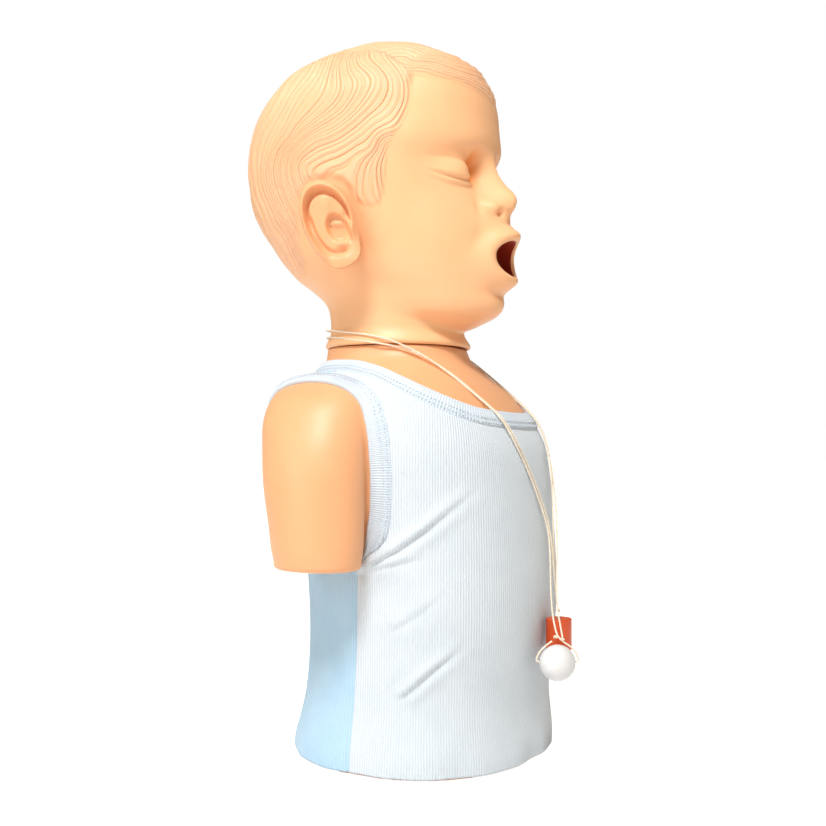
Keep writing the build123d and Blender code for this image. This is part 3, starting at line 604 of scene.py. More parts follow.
NECKLINE = (
    (-100, 229), (-69, 230.5), (-58, 233.5), (-43, 241), (-24, 250), (0, 260), (22, 266), (46, 268), (95, 266),
)
ARMHOLE = (
    (10, 146), (2, 150), (-4, 158), (-7, 176), (-6.5, 201), (-4, 216), (3, 229), (14, 238), (28, 244), (46, 246),
    (62, 242), (75, 230), (77, 214), (67, 200), (58, 183), (48, 163), (38, 150), (24, 145),
)
ARMHOLE_MIDDLE = (38.0, 190.0)
ARMHOLE_X = 86.0
ARMHOLE_SLANT = math.radians(9.5)
HEM_Z = 1.5
BAND_W = 13.0
CLOTH_OUT = 1.6
BAND_OUT = 2.1
CLOTH_THICK = 0.0011
CUT_UNDER_BAND = BAND_W * 0.72
STITCH_GAP = 2.2
STITCH_R, STITCH_UP, STITCH_SHARE = 0.36, 0.92, 0.38
FOLDS = (
    ((-0.9, 130.4), (-25.2, 144.0), (-42.2, 156.7), (-59.2, 173.4), (-71.1, 187.5)),
    ((-24.5, 48.9), (-35.9, 59.7), (-47.7, 71.1), (-57.2, 79.7), (-66.7, 91.5)),
    ((6.0, 126.0), (-12.0, 132.0), (-30.0, 137.0), (-48.0, 141.0)),
    ((-20.0, 92.0), (-38.0, 104.0), (-56.0, 121.0)),
)
FOLD_SIZES = ((2.3, 3.6), (1.9, 3.4), (1.3, 4.2), (0.9, 5.0))


def along(points, fraction):
    """The place at a fraction of a smooth closed curve through points."""
    count = len(points)
    k = fraction * count
    i = int(math.floor(k)) % count
    t = k - math.floor(k)
    p = [np.array(points[(i + j - 1) % count], float) for j in range(4)]
    return 0.5 * (
        2 * p[1] + (p[2] - p[0]) * t
        + (2 * p[0] - 5 * p[1] + 4 * p[2] - p[3]) * t**2
        + (3 * p[1] - p[0] - 3 * p[2] + p[3]) * t**3
    )


def to_table(vector):
    """A frame place back in millimetres from the torso's axis."""
    return np.array((vector.x * 1000, vector.y * 1000 - AXIS_Y, vector.z * 1000))


def neck_height(angle):
    """The height where the neckline crosses the skin at an angle."""
    z = 250.0
    ys, zs = zip(*NECKLINE)
    for _ in range(12):
        hit, _ = skin_at(angle, z)
        wanted = np.interp(to_table(hit)[1], ys, zs)
        z += (wanted - z) * 0.6
    return z


def segment_distance(y, z, points):
    """Distance in the side view from an open line of points, and how far along it is nearest."""
    best = np.full_like(y, 1e9)
    share = np.zeros_like(y)
    for k, ((ay, az), (by, bz)) in enumerate(zip(points, points[1:])):
        dy, dz = by - ay, bz - az
        t = np.clip(((y - ay) * dy + (z - az) * dz) / (dy * dy + dz * dz), 0, 1)
        d = np.hypot(y - ay - dy * t, z - az - dz * t)
        nearer = d < best
        best = np.where(nearer, d, best)
        share = np.where(nearer, (k + t) / (len(points) - 1), share)
    return best, share


def armhole_x(y, z):
    """How far out the armhole's edge stands: it follows the arm's slant over the shoulder."""
    return ARMHOLE_X + np.minimum(y + 7, 6.0) * math.tan(ARMHOLE_SLANT) * step(190, 225, z)


def in_armhole(points, side, grow):
    """Below nought for places inside an armhole's edge, made that much larger all round."""
    x, y, z = points.T
    my, mz = ARMHOLE_MIDDLE
    grow = grow * (1.0 - 0.8 * step(my - 4, my + 10, y) * step(243, 230, z))
    angle = np.arctan2(z - mz, y - my)
    ring_y, ring_z = np.array([along(ARMHOLE, k / 200) for k in range(200)]).T
    ring_angle = np.arctan2(ring_z - mz, ring_y - my)
    ring_r = np.hypot(ring_z - mz, ring_y - my)
    order = np.argsort(ring_angle)
    edge = np.interp(angle, ring_angle[order], ring_r[order], period=2 * np.pi)
    inside = np.hypot(y - my, z - mz) - edge - grow
    return np.maximum(inside, armhole_x(y, z) - grow - side * x)


def seam_line(z):
    """How far back the side seam runs; it moves on to the shoulder over the armhole."""
    return 6.0 - 0.03 * (z - 60) + 36.0 * step(160, 215, z)


def vest_sheet():
    """The front and back panels as one fitted tube of cloth, with folds, open at the armholes."""
    count, rows = ((280, 190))
    turns = np.linspace(-math.pi, math.pi, count + 1)
    tops = evened(np.array([neck_height(a) - 6.0 for a in turns[:-1]]), 4)
    tops = np.append(tops, tops[0])
    table = np.zeros((rows, count + 1, 3))
    normals = np.zeros_like(table)
    for j, angle in enumerate(turns):
        for i in range(rows):
            z = HEM_Z + (tops[j] - HEM_Z) * i / (rows - 1)
            hit, normal = cloth_at(angle, z)
            table[i, j] = to_table(hit)
            normals[i, j] = normal
    x, y, z = table[..., 0], table[..., 1], table[..., 2]
    out = np.full(x.shape, CLOTH_OUT)
    for fold, (height, width) in zip(FOLDS, FOLD_SIZES):
        for side in (-1, 1):
            height_z = z + (side > 0) * 5 * np.sin(y / 9)
            apart, share = segment_distance(y, height_z, fold)
            ys, zs = zip(*sorted(fold))
            d = np.where(height_z > np.interp(y, ys, zs), apart, -apart)
            fade = step(1.0, 0.4, share) * step(-0.02, 0.12, share)
            ridge = soft((d - 0.8 * width) / width) - 0.85 * soft((d + 0.3) / 1.5)
            ridge += 0.45 * soft((d + 1.4 * width) / width)
            out += height * (1.0 if side < 0 else 0.8) * ridge * fade * (np.sign(x) == side)
    out += 0.35 * np.sin(y / 17 + z / 23) * step(10, 60, z) * step(0, 40, 230 - z)
    hem = step(4, 24, z)
    ripple = np.sin(turns * 9)[None, :] + 0.6 * np.sin(turns * 17 + 1)[None, :]
    out += (1 - hem) * 0.7 * (ripple + 1.2)
    seam = y - seam_line(z)
    out += (0.7 * soft((seam + 2.5) / 2.0) - 1.0 * soft((seam - 0.6) / 1.2)) * (np.abs(x) > 40)
    table += normals * out[..., None]
    vest = web("vest_sheet", table, VEST_KNIT)
    co = vertex_places(vest)
    carry(vest, panel=co[:, 1] - seam_line(co[:, 2]))
    remove_vertices(vest, np.minimum(*(in_armhole(co, side, CUT_UNDER_BAND) for side in (-1, 1))) < 0)
    bpy.ops.object.mode_set(mode="OBJECT")
    add_modifier(vest, "SOLIDIFY", thickness=CLOTH_THICK, offset=-1)
    return vest


def band_profile(width):
    """Across a ribbed band: distance from its edge and height off the skin."""
    return [
        (0.7, -1.4),
        (0.2, -0.6),
        (-0.2, 0.6),
        (-0.3, 1.6),
        (0.1, BAND_OUT + 0.35),
        (0.9, BAND_OUT + 0.75),
        (2.2, BAND_OUT + 0.9),
        (width * 0.35, BAND_OUT + 0.75),
        (width * 0.6, BAND_OUT + 0.65),
        (width - 3.9, BAND_OUT + 0.6),
        (width - 3.2, BAND_OUT + 0.1),
        (width - 2.5, BAND_OUT + 0.55),
        (width - 1.5, BAND_OUT + 0.5),
        (width - 0.9, BAND_OUT + 0.05),
        (width - 0.3, BAND_OUT + 0.3),
        (width, CLOTH_OUT - 0.2),
    ]


def way_across(normal, tangent, away):
    """The way over the skin across an edge, on the side that away points to."""
    across = normal.cross(tangent).normalized()
    return -across if across.dot(away) < 0 else across


def band(name, edge, away, width):
    """A ribbed band along a closed edge of skin places; away gives the way across it."""
    edge = [Vector(e) for e in edge]
    columns = []
    for i, here in enumerate(edge):
        tangent = (edge[(i + 1) % len(edge)] - edge[i - 1]).normalized()
        hit, normal = skin_near(here)
        across = way_across(normal, tangent, away(here))
        column = []
        for reach, height in band_profile(width):
            spot, local = skin_near(hit + across * reach / 1000)
            column.append(to_table(spot + local * height / 1000))
        columns.append(column)
    columns = evened(np.array(columns), 14)
    piece = web(name, np.append(columns, columns[:1], 0).transpose(1, 0, 2), BAND_KNIT)
    on_mesh(piece, lambda: bpy.ops.mesh.normals_make_consistent(inside=False))
    return piece


def stitches(name, edge, away, reach):
    """A row of short stitches beside a band's edge."""
    count = len(edge)
    lengths = [0.0]
    for i in range(count):
        lengths.append(lengths[-1] + (Vector(edge[(i + 1) % count]) - Vector(edge[i])).length)
    total = lengths[-1]
    deselect()
    bpy.ops.mesh.primitive_uv_sphere_add(segments=6, ring_count=5, radius=0.001)
    one = bpy.context.object
    one.name = name
    bead = np.array([v.co[:] for v in one.data.vertices]) * 1000
    faces = [tuple(p.vertices) for p in one.data.polygons]
    places, polygons = [], []
    number = int(total * 1000 / STITCH_GAP)
    for k in range(number):
        s = total * k / number
        i = max(0, int(np.searchsorted(lengths, s)) - 1)
        t = (s - lengths[i]) / max(lengths[i + 1] - lengths[i], 1e-9)
        a, b = Vector(edge[i]), Vector(edge[(i + 1) % count])
        here = a.lerp(b, t)
        hit, normal = skin_near(here)
        tangent = (b - a).normalized()
        across = way_across(normal, tangent, away(here))
        spot, local = skin_near(hit + across * reach / 1000)
        middle = spot + local * (BAND_OUT + STITCH_UP) / 1000
        lift = np.array(local) * STITCH_R
        run = np.array(tangent) * STITCH_GAP * STITCH_SHARE
        side = np.cross(lift, run)
        side *= STITCH_R / max(np.linalg.norm(side), 1e-9)
        base = len(places)
        for bx, by, bz in bead:
            places.append((np.array(middle) * 1000 + run * bx + side * by + lift * bz) / 1000)
        polygons += [tuple(base + v for v in f) for f in faces]
    mesh = bpy.data.meshes.new(name)
    mesh.from_pydata([tuple(p) for p in places], [], polygons)
    one.data = mesh
    mesh.materials.append(STITCH_THREAD)
    mesh.update()
    one.update_tag(refresh={"DATA"})
    bpy.context.view_layer.update()
    only(one)
    bpy.ops.object.shade_smooth()
    return one


def armhole_edge(side):
    """Skin places along an armhole's edge."""
    edge = []
    count = 220
    for k in range(count):
        y, z = along(ARMHOLE, k / count)
        edge.append(skin_near(place(side * armhole_x(y, z), y, z))[0])
    smooth = [Vector(e) for e in edge]
    for _ in range(10):
        smooth = [(smooth[i - 1] + smooth[i] * 2 + smooth[(i + 1) % count]) / 4 for i in range(count)]
    return [skin_near(e)[0] for e in smooth]


def neck_edge():
    """Skin places along the neckline."""
    count = 240
    edge = []
    for k in range(count):
        angle = -math.pi + 2 * math.pi * k / count
        edge.append(skin_at(angle, neck_height(angle))[0])
    return edge


def from_neck(spot):
    """The way out from the neck's upright axis, and down."""
    return Vector((spot.x, spot.y - place(0, 10, 0).y, -0.03))


vest = vest_sheet()
neckline = neck_edge()
neck_band = band("neck_band", neckline, from_neck, BAND_W)
neck_stitches = [
    stitches("neck_stitches", neckline, from_neck, reach) for reach in (BAND_W - 5.4, BAND_W - 2.2)]
arm_bands, arm_stitches = [], []
for side, word in ((-1, "right"), (1, "left")):
    hole = armhole_edge(side)
    middle = place(side * 170, *ARMHOLE_MIDDLE)
    arm_bands.append(band(f"armhole_band_{word}", hole, lambda p: p - middle, BAND_W + 1.5))
    arm_stitches += [
        stitches(f"armhole_stitches_{word}", hole, lambda p: p - middle, reach)
        for reach in (BAND_W - 3.9, BAND_W - 0.7)]

torso_rim(torso)
torso.data.materials.clear()
torso.data.materials.append(VINYL)

# Head

HEAD_LEVELS = (
    (289.5, 20, -20, 45, 0.30), (291.5, 31, -33, 56, 0.30), (295, 40, -42, 66, 0.30), (300, 46, -52, 69, 0.30),
    (307, 50, -56, 72, 0.30), (316, 54, -57.5, 79, 0.30), (330, 61.5, -58, 96.5, 0.28), (344, 66.5, -57, 110, 0.26),
    (357, 70, -55, 119.5, 0.24), (369, 73, -52.5, 128, 0.22), (385, 75, -49, 134.5, 0.18),
    (402, 76, -48.5, 137, 0.14), (416, 76.5, -52.5, 137.5, 0.12), (432, 75.5, -52, 135, 0.12),
    (450, 72.5, -50, 127.5, 0.12), (466, 65.5, -44.5, 116.5, 0.10), (479, 56, -34, 103, 0.07),
    (490, 39, -15.5, 79, 0.04), (497, 23, 2, 59, 0.02), (500, 3, 24, 34, 0),
)
HEAD_SQUARE = 2.1
NOSE_LEVELS = (
    (362, 0, 9), (368, 6, 10), (373, 14, 11), (378, 18.6, 10), (383, 17.8, 9.5), (388, 13.6, 8.5), (396, 8.6, 7.2),
    (404, 5, 7.5), (414, 0, 7),
)
FACE_FORMS = (
    (25, 400, 16, 9.5, -4.2), (15, 398, 5.2, 10.5, -7), (30, 396.5, 11, 7.2, 7.5), (22, 416, 16, 7, 0.8),
    (12.5, 371.5, 3.8, 4.4, 4.4), (18, 371, 2.6, 6, -1.6), (7.2, 368.6, 1.5, 2.2, -3.6), (42, 352, 18, 20, 2),
    (0, 305, 15, 7, 3), (0, 361, 2.2, 4, -0.6), (20.5, 345, 4.5, 12, -2.2), (0, 314, 12, 3, -2.4),
)
MUZZLE_Z, MUZZLE_HALF_W, MUZZLE_HALF_H, MUZZLE_OUT = 344.0, 16.0, 26.0, 12.5
MOUTH_Z, MOUTH_R, MOUTH_WIDE, LIP_W, LIP_OUT = 337.5, 13.0, 1.2, 4.2, 5.6
LIP_BACK = ((0.8, 0.97), (1.4, 0.985), (2.0, 1.0), (3.5, 1.03), (5.0, 1.02), (7.0, 1.0))
EYE_X, EYE_HALF_W, EYE_SEAM_Z = 31.0, 15.5, 392.4
SKIRT = (
    (45.4, 297.0), (45.3, 284.0), (45.4, 280.2), (46.0, 279.3), (47.2, 279.0), (48.8, 279.1), (49.6, 279.7),
    (50.0, 280.8), (50.05, 282.4), (49.8, 284.4),
)
CROWN_Z = 496.5
HAIR_LINE = (
    (0, 447), (11, 449.5), (24, 453.5), (37, 455), (46, 456), (52, 456), (54.3, 448), (55, 438), (56.8, 430),
    (60, 421), (64.5, 413), (67.5, 407), (68.6, 392), (69.5, 378), (72, 370), (79.5, 369), (86.5, 373),
    (90, 381), (94, 386), (101, 389), (112, 388.5), (119, 377), (124, 355), (127.5, 338), (138, 330), (180, 322),
)
HEAD_HEART = np.array((0.0, 42.0, 400.0))
STRANDS = (
    (0, ((0.54, 1.09), (0.91, 0.85), (1.17, 0.51), (1.29, 0.23), (1.03, -0.16), (0.94, -0.49), (0.81, -0.82),
         (0.64, -1.02))),
    (11, ((0.31, 0.99), (0.45, 0.67), (0.65, 0.40), (0.79, 0.11), (0.78, -0.22), (0.67, -0.52), (0.52, -0.77),
          (0.45, -0.94))),
    (25, ((0.13, 0.94), (0.24, 0.66), (0.40, 0.39), (0.60, 0.16), (0.66, -0.06), (0.57, -0.33), (0.43, -0.59),
          (0.35, -0.83))),
    (46, ((-0.03, 0.89), (-0.03, 0.66), (0.11, 0.43), (0.34, 0.24), (0.50, 0.09), (0.51, -0.16), (0.40, -0.40),
          (0.30, -0.64))),
    (71, ((-0.17, 0.83), (-0.27, 0.62), (-0.19, 0.43), (0.09, 0.28), (0.32, 0.16), (0.40, 0.02), (0.38, -0.20),
          (0.30, -0.38))),
    (92, ((-0.29, 0.83), (-0.44, 0.67), (-0.45, 0.51), (-0.25, 0.31), (0.07, 0.19), (0.27, 0.07), (0.31, -0.07))),
    (107, ((-0.43, 0.81), (-0.57, 0.65), (-0.59, 0.49), (-0.47, 0.32), (-0.21, 0.16), (0.08, 0.07), (0.24, -0.01))),
    (118, ((-0.53, 0.79), (-0.66, 0.63), (-0.69, 0.45), (-0.59, 0.26), (-0.36, 0.12), (-0.11, 0.01), (0.11, -0.06))),
    (126, ((-0.63, 0.75), (-0.73, 0.57), (-0.74, 0.41), (-0.67, 0.22), (-0.51, 0.09), (-0.35, 0.01), (-0.27, -0.08),
           (-0.18, -0.14))),
    (130, ((-0.44, 0.01), (-0.35, -0.10), (-0.33, -0.24), (-0.34, -0.36))),
    (138, ((-0.55, 0.06), (-0.45, -0.09), (-0.42, -0.24), (-0.44, -0.38))),
    (146, ((-0.63, 0.13), (-0.55, -0.02), (-0.52, -0.20), (-0.54, -0.36))),
)
STRANDS_OVER = (
    (126, ((-1.53, 1.49), (-1.59, 1.28), (-1.56, 1.01), (-1.49, 0.82), (-1.38, 0.70), (-1.05, 0.62))),
    (112, ((-1.32, 1.66), (-1.47, 1.37), (-1.50, 1.06), (-1.30, 0.86), (-1.00, 0.76))),
    (96, ((-1.01, 1.90), (-1.30, 1.58), (-1.40, 1.20), (-1.20, 1.00))),
    (71, ((-0.45, 1.95), (-0.60, 1.50), (-0.50, 1.15))),
    (46, ((0.00, 1.90), (-0.20, 1.50), (-0.18, 1.20))),
    (25, ((0.40, 1.80), (0.15, 1.40), (0.12, 1.15))),
    (0, ((0.90, 1.40),)),
)


def face_relief(x, z):
    """How far the face stands off the head's egg, seen from the front."""
    ax = np.abs(x)
    relief = forms(ax, z, FACE_FORMS)
    nose = between(NOSE_LEVELS, z.ravel())
    out, half_w = nose[:, 0].reshape(z.shape), nose[:, 1].reshape(z.shape)
    relief += np.where((z > 362) & (z < 414), out, 0) * soft(x / half_w)
    relief += MUZZLE_OUT * soft(x / MUZZLE_HALF_W) * np.exp(-(((z - MUZZLE_Z) / MUZZLE_HALF_H) ** 4))
    from_lip = np.hypot(x / MOUTH_WIDE, z - MOUTH_Z) - MOUTH_R - 3.8
    relief += LIP_OUT * (0.70 + 0.50 * soft((z - MOUTH_Z) / 10)) * soft(from_lip / LIP_W)
    return relief + eye_relief(ax, z)


def eye_relief(ax, z):
    """A closed eye: the seam between the lids, the fold over it and the fold under it."""
    t = (ax - EYE_X) / EYE_HALF_W

    def window(narrower=1.0):
        return np.clip(1 - np.abs(t * narrower) ** 3, 0, 1)

    seam = EYE_SEAM_Z + 1.4 * t - 2.8 * (1 - t * t)
    relief = -1.9 * soft((z - seam) / 0.9) * window()
    relief += 1.2 * soft((z - seam - 2.3) / 1.7) * window()
    relief += 1.0 * soft((z - seam + 2.5) / 1.5) * window()
    relief -= 0.6 * soft((z - seam + 5.0) / 1.2) * window(0.9)
    relief -= 0.8 * soft((z - seam - 12.8 + 3.4 * t * t) / 1.6) * window(0.85)
    return relief


def polar_section(values, angles):
    """The egg's radius from the neck's axis, and its own turn, at each angle from the front."""
    half, front, back, narrow = values
    turn = np.linspace(0, np.pi, 721)
    s, c = np.sin(turn), np.cos(turn)
    x = s ** (2 / HEAD_SQUARE) * half * (1 - narrow * ((1 + c) / 2) ** 1.5)
    y = (front + back) / 2 - np.sign(c) * np.abs(c) ** (2 / HEAD_SQUARE) * (back - front) / 2
    around = np.arctan2(x, NECK_Y - y)
    radius = np.hypot(x, NECK_Y - y)
    around[0], around[-1] = 0, np.pi
    return np.interp(angles, around, radius), np.interp(angles, around, turn)


def smooth_max(a, b, blend):
    """The larger of two radii, with a soft joint between them."""
    h = np.clip(0.5 + 0.5 * (a - b) / blend, 0, 1)
    return b + (a - b) * h + blend * h * (1 - h)


def spread(known, at):
    """A smooth field through known values, at many places on the flattened side of the head."""
    spots = np.array([p for value, line in known for p in line])
    values = np.array([value for value, line in known for p in line], float)

    def kernel(a, b):
        d = np.linalg.norm(a[:, None] - b[None], axis=2)
        return d**2 * np.log(d + 1e-9)

    count = len(spots)
    corner = np.hstack([np.ones((count, 1)), spots])
    system = np.zeros((count + 3, count + 3))
    system[:count, :count] = kernel(spots, spots) + np.eye(count) * 0.002
    system[:count, count:] = corner
    system[count:, :count] = corner.T
    weights = np.linalg.solve(system, np.append(values, (0, 0, 0)))
    flat = at.reshape(-1, 2)
    field = [
        kernel(some, spots) @ weights[:count] + weights[count] + some @ weights[count + 1:]
        for some in np.array_split(flat, len(flat) // 20000 + 1)]
    field = np.concatenate(field)
    return field.reshape(at.shape[:-1])


def strand_field(points):
    """Which strand of hair each place lies on: strands leave the parting and sweep down and back."""
    rel = points - HEAD_HEART
    rel = rel / np.linalg.norm(rel, axis=-1, keepdims=True)
    fields = []
    for side, known in ((-1, STRANDS), (1, STRANDS + STRANDS_OVER)):
        away = np.arccos(np.clip(rel[..., 0] * side, -1, 1))
        turn = np.arctan2(rel[..., 2], rel[..., 1])
        fields.append(spread(known, np.stack([away * np.cos(turn), away * np.sin(turn)], -1)))
    parting = -53.0 * step(112, 55, points[..., 1])
    field = np.where(points[..., 0] < parting, fields[0], fields[1])
    x, y, z = (points[..., k] for k in range(3))
    return field + 1.3 * np.sin(x / 13 + z / 11) + 0.9 * np.sin(y / 8 - z / 14) + 0.5 * np.sin(z / 5 + y / 9)


def hair_mask(points, field):
    """One on the hair and nought on the skin, with the distance inside the hairline."""
    x, y, z = (points[..., k] for k in range(3))
    f = np.degrees(np.abs(np.arctan2(x, NECK_Y - y)))
    line = np.interp(f, *zip(*HAIR_LINE))
    apart, _ = segment_distance(f * 1.2, z, [(a * 1.2, b) for a, b in HAIR_LINE])
    over = np.where(z > line, apart, -apart) - 1.1 * (1 - np.abs(np.sin(np.pi * field / LOCK)))
    return step(-2.0, 4.5, over), over


def head_surface():
    """The table of places over the head, from inside the neck skirt up to the crown."""
    side_count, face_count, thin = ((107, 137, 1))
    face = np.radians(np.linspace(-42, 42, face_count))
    rest = np.radians(np.concatenate([np.linspace(42, 128, side_count), np.linspace(129.2, 180, 38)]))
    angles = np.concatenate([-rest[::-1][:-1], face[:-1], rest])
    heights = np.concatenate([
        np.linspace(286.5, 300, 13 // thin), np.linspace(300.9, 312, 11 // thin),
        np.linspace(312.9, 410, 104 // thin), np.linspace(411.2, 484, 58 // thin),
        500 - 16 * np.cos(np.linspace(0, np.pi / 2, 18 // thin))[1:-1],
    ])
    flare = 1.8 + 1.4 * np.clip(np.cos(angles), 0, 1) ** 2

    def flared(radius, z):
        return radius + flare * step(288, 279.5, z)

    def polar_row(radius, z):
        return level(radius * np.sin(angles), NECK_Y - radius * np.cos(angles), z)

    rows = [polar_row(flared(inner, z), z) for inner, z in SKIRT]
    values = between(HEAD_LEVELS, heights)
    heights = heights - 3.5 * step(430, 500, heights)
    turns = []
    for z, value in zip(heights, values):
        radius, turn = polar_section(value, np.abs(angles))
        neck = 48.0 + 1.6 * step(292, 284, z) - 60 * step(322, 350, z)
        if z < HEAD_LEVELS[0][0]:
            radius = flared(neck, z)
        elif z < 345:
            radius = smooth_max(radius, flared(neck, z), 5.0)
        rows.append(polar_row(radius, z))
        turns.append(turn)
    top = rows[-1].mean(0)
    top[2] = CROWN_Z
    rows.append(top + (rows[-1] - top) * (0.35, 0.35, 0.3))
    rows.append(np.repeat(top[None, :], len(angles), 0))
    table = np.array(rows)
    first = len(SKIRT)
    last = first + len(heights)
    x, y, z = (table[first:last, :, i] for i in range(3))
    turns = np.array(turns)
    weight = np.sqrt(np.clip(np.cos(turns), 0, 1)) * step(290, 298, z)
    table[first:last, :, 1] = y - face_relief(x, z) * weight
    return table


def head_normals(table):
    """The outward direction at each place of the head's table."""
    du = np.gradient(table, axis=1)
    dv = np.gradient(table, axis=0)
    n = np.cross(du, dv)
    return n / np.maximum(np.linalg.norm(n, axis=2, keepdims=True), 1e-9)


def head_skin():
    """The head's whole outside, with combed hair, ready for its mouth to be opened."""
    table = head_surface()
    normals = head_normals(table)
    field = strand_field(table)
    hair, over = hair_mask(table, field)
    patch = 0.6 + 0.4 * np.sin(field / 5.3 + table[..., 2] / 9) * np.sin(table[..., 1] / 11 + 1)
    lock = np.abs(np.sin(np.pi * field / LOCK)) ** 0.8 - 0.62
    wide = np.sin(np.pi * field / (LOCK * 2.7) + 0.7) + 0.6 * np.sin(np.pi * field / (LOCK * 1.63))
    out = 0.55 * hair - 0.15 * (1 - hair) * soft(over / 6)
    out += hair * step(0, 4, over) * (0.9 * patch * lock + 0.3 * wide)
    table += normals * out[..., None] * (table[..., 2] > 300)[..., None]
    head = web("head_skin", table, HEAD_VINYL)
    co = vertex_places(head)
    field = strand_field(co)
    hair = hair_mask(co, field)[0] * (co[:, 2] > 300)
    # Painted shade: how deep each place lies in the face's hollows, for a deeper orange there.
    hollow = np.clip(-face_relief(co[:, 0], co[:, 2]) / 7, 0, 1) * (co[:, 1] < -10)
    carry(head, strand=field, hair=hair, hollow=hollow)
    return head


def open_mouth(head):
    """Opens the mouth and turns the lips inward."""
    mesh = head.data
    x, y, z = vertex_places(head).T
    remove_vertices(head, (np.hypot(x / MOUTH_WIDE, z - MOUTH_Z) < MOUTH_R) & (y < -30))
    bpy.ops.mesh.select_all(action="DESELECT")
    bpy.ops.mesh.select_non_manifold(extend=False, use_wire=False, use_boundary=True, use_multi_face=False,
                                     use_non_contiguous=False, use_verts=False)
    bpy.ops.object.mode_set(mode="OBJECT")
    rim = [v for v in mesh.vertices if v.select and v.co.z > 0.31 and v.co.y < -0.03]
    for parts in (mesh.vertices, mesh.edges, mesh.polygons):
        parts.foreach_set("select", np.zeros(len(parts), bool))
    chosen = set()
    for vertex in rim:
        dx, dz = vertex.co.x * 1000 / MOUTH_WIDE, vertex.co.z * 1000 - MOUTH_Z
        r = math.hypot(dx, dz)
        vertex.co.x = dx / r * MOUTH_R * MOUTH_WIDE / 1000
        vertex.co.z = (MOUTH_Z + dz / r * MOUTH_R) / 1000
        chosen.add(vertex.index)
    rim.sort(key=lambda v: math.atan2(v.co.z * 1000 - MOUTH_Z, v.co.x * 1000))
    depth = evened(np.array([v.co.y for v in rim]), 12)
    for vertex, y in zip(rim, depth):
        vertex.co.y = y
    for edge in mesh.edges:
        edge.select = edge.vertices[0] in chosen and edge.vertices[1] in chosen
    outside = len(mesh.polygons)
    around = sum(edge.select for edge in mesh.edges)
    bpy.ops.object.mode_set(mode="EDIT")
    bpy.ops.mesh.select_mode(type="EDGE")
    middle = place(0, -58, MOUTH_Z)
    for back, size in LIP_BACK:
        bpy.ops.mesh.extrude_region_move(TRANSFORM_OT_translate={"value": (0, back / 1000, 0)})
        bpy.ops.transform.resize(value=(size, 1, size), center_override=middle)
    bpy.ops.object.mode_set(mode="OBJECT")
    # The turned-in lips take the dark red painted shade of the mouth's inside.
    mesh.materials.append(THROAT_PAINTED_SHADE)
    for polygon in mesh.polygons[outside + 2 * around:]:
        polygon.material_index = 1


EAR_FORMS = (
    (-5.0, 2.0, 5.5, 2.6, 2.2), (-0.5, 14.0, 4.0, 7.0, 1.5), (-14.5, -2.5, 3.0, 5.5, 4.2),
    (-5.0, -12.8, 4.5, 2.6, 2.0), (-5.5, -23.5, 9.0, 6.0, 1.6),
)


def ear_skin(side):
    """An ear with its helix, antihelix, bowl, tragus and lobe, tapering to its root on the head."""
    turn, tilt = math.radians(22), math.radians(13)
    outward = np.array((side * math.cos(turn), -math.sin(turn), 0))
    back = np.array((side * math.sin(turn), math.cos(turn), 0))
    up = np.array((0, 0, 1)) * math.cos(tilt) + back * math.sin(tilt)
    middle = np.array((side * 83.0, 29.0, 355.0))
    around = np.linspace(0, 2 * np.pi, 101)
    rho = np.concatenate([np.linspace(0.02, 0.60, 16), np.linspace(0.62, 1.0, 24)])
    shell = [(1.02, -1.2), (1.02, -2.6), (0.99, -4.2), (0.93, -6.5), (0.84, -10.0), (0.74, -15.0), (0.66, -22.0)]
    s, c = np.sin(around), np.cos(around)
    notch = 1 - 0.06 * soft((np.degrees(around) - 208) / 16)
    lobe = 1 + 0.34 * soft((np.degrees(around) - 217) / 26)
    wide = 18.0 * (1 + 0.14 * c) * notch * lobe
    tall = 30.0 * (1 - 0.03 * soft((np.degrees(around) - 180) / 40))
    rows = []
    for r in rho:
        b, u = wide * s * r, tall * c * r
        rows.append((b, u, ear_relief(b, u, r, np.degrees(around))))
    for r, deep in shell:
        root = step(1.0, 0.66, np.array(r))
        b = wide * s * r - 2.5 * root
        rows.append((b, tall * c * r, np.full_like(s, deep) + rows[len(rho) - 1][2] * (1 - root) * 0.8))
    table = []
    for b, u, o in rows:
        table.append(middle + b[:, None] * back + u[:, None] * up + o[:, None] * outward)
    table = np.array(table)
    if side > 0:
        table = table[:, ::-1]
    return web("ear_skin", table, VINYL)


def ear_relief(b, u, r, degrees):
    """Height of the ear's face over its rim plane."""
    turned = (degrees + 180) % 360 - 180
    reach = r * np.ones_like(b)
    rolled = step(-100, -75, turned) * step(172, 120, turned)
    height = -2.0 - 1.0 * step(1.0, 0.3, reach)
    height = height + 4.0 * rolled * soft((reach - 0.90) / 0.085)
    height -= 3.4 * step(-96, -70, turned) * step(125, 80, turned) * soft((reach - 0.765) / 0.055)
    low_turn = degrees % 360
    height -= 2.6 * step(62, 85, low_turn) * step(228, 205, low_turn) * soft((reach - 0.66) / 0.075)
    bowl = np.hypot((b + 4.5) / 7.6, (u + 1.5) / 9.8)
    height -= 4.6 * step(1.06, 0.72, bowl)
    height += forms(b, u, EAR_FORMS)
    height -= 1.8 * soft((b + 11.3) / 1.3) * step(-13, -8, u) * step(11, 6, u)
    front = step(-14.5, -20.0, b)
    return height * (1 - front) - 3.4 * front


head = head_skin()
open_mouth(head)
joined(head, [ear_skin(side) for side in (-1, 1)])

# Ball, plug and knots


def turned_piece(name, profile, middle, axis, material, count=64):
    """Spins an outline of radius and height about an axis."""
    axis = Vector(axis).normalized()
    across = axis.orthogonal().normalized()
    other = axis.cross(across)
    around = np.linspace(0, 2 * np.pi, count + 1)
    table = []
    for radius, height in profile:
        rows = [
            np.array(Vector(middle) + axis * height + (across * math.cos(a) + other * math.sin(a)) * radius)
            for a in around[:-1]
        ]
        table.append(rows + rows[:1])
    return web(name, np.array(table), material)


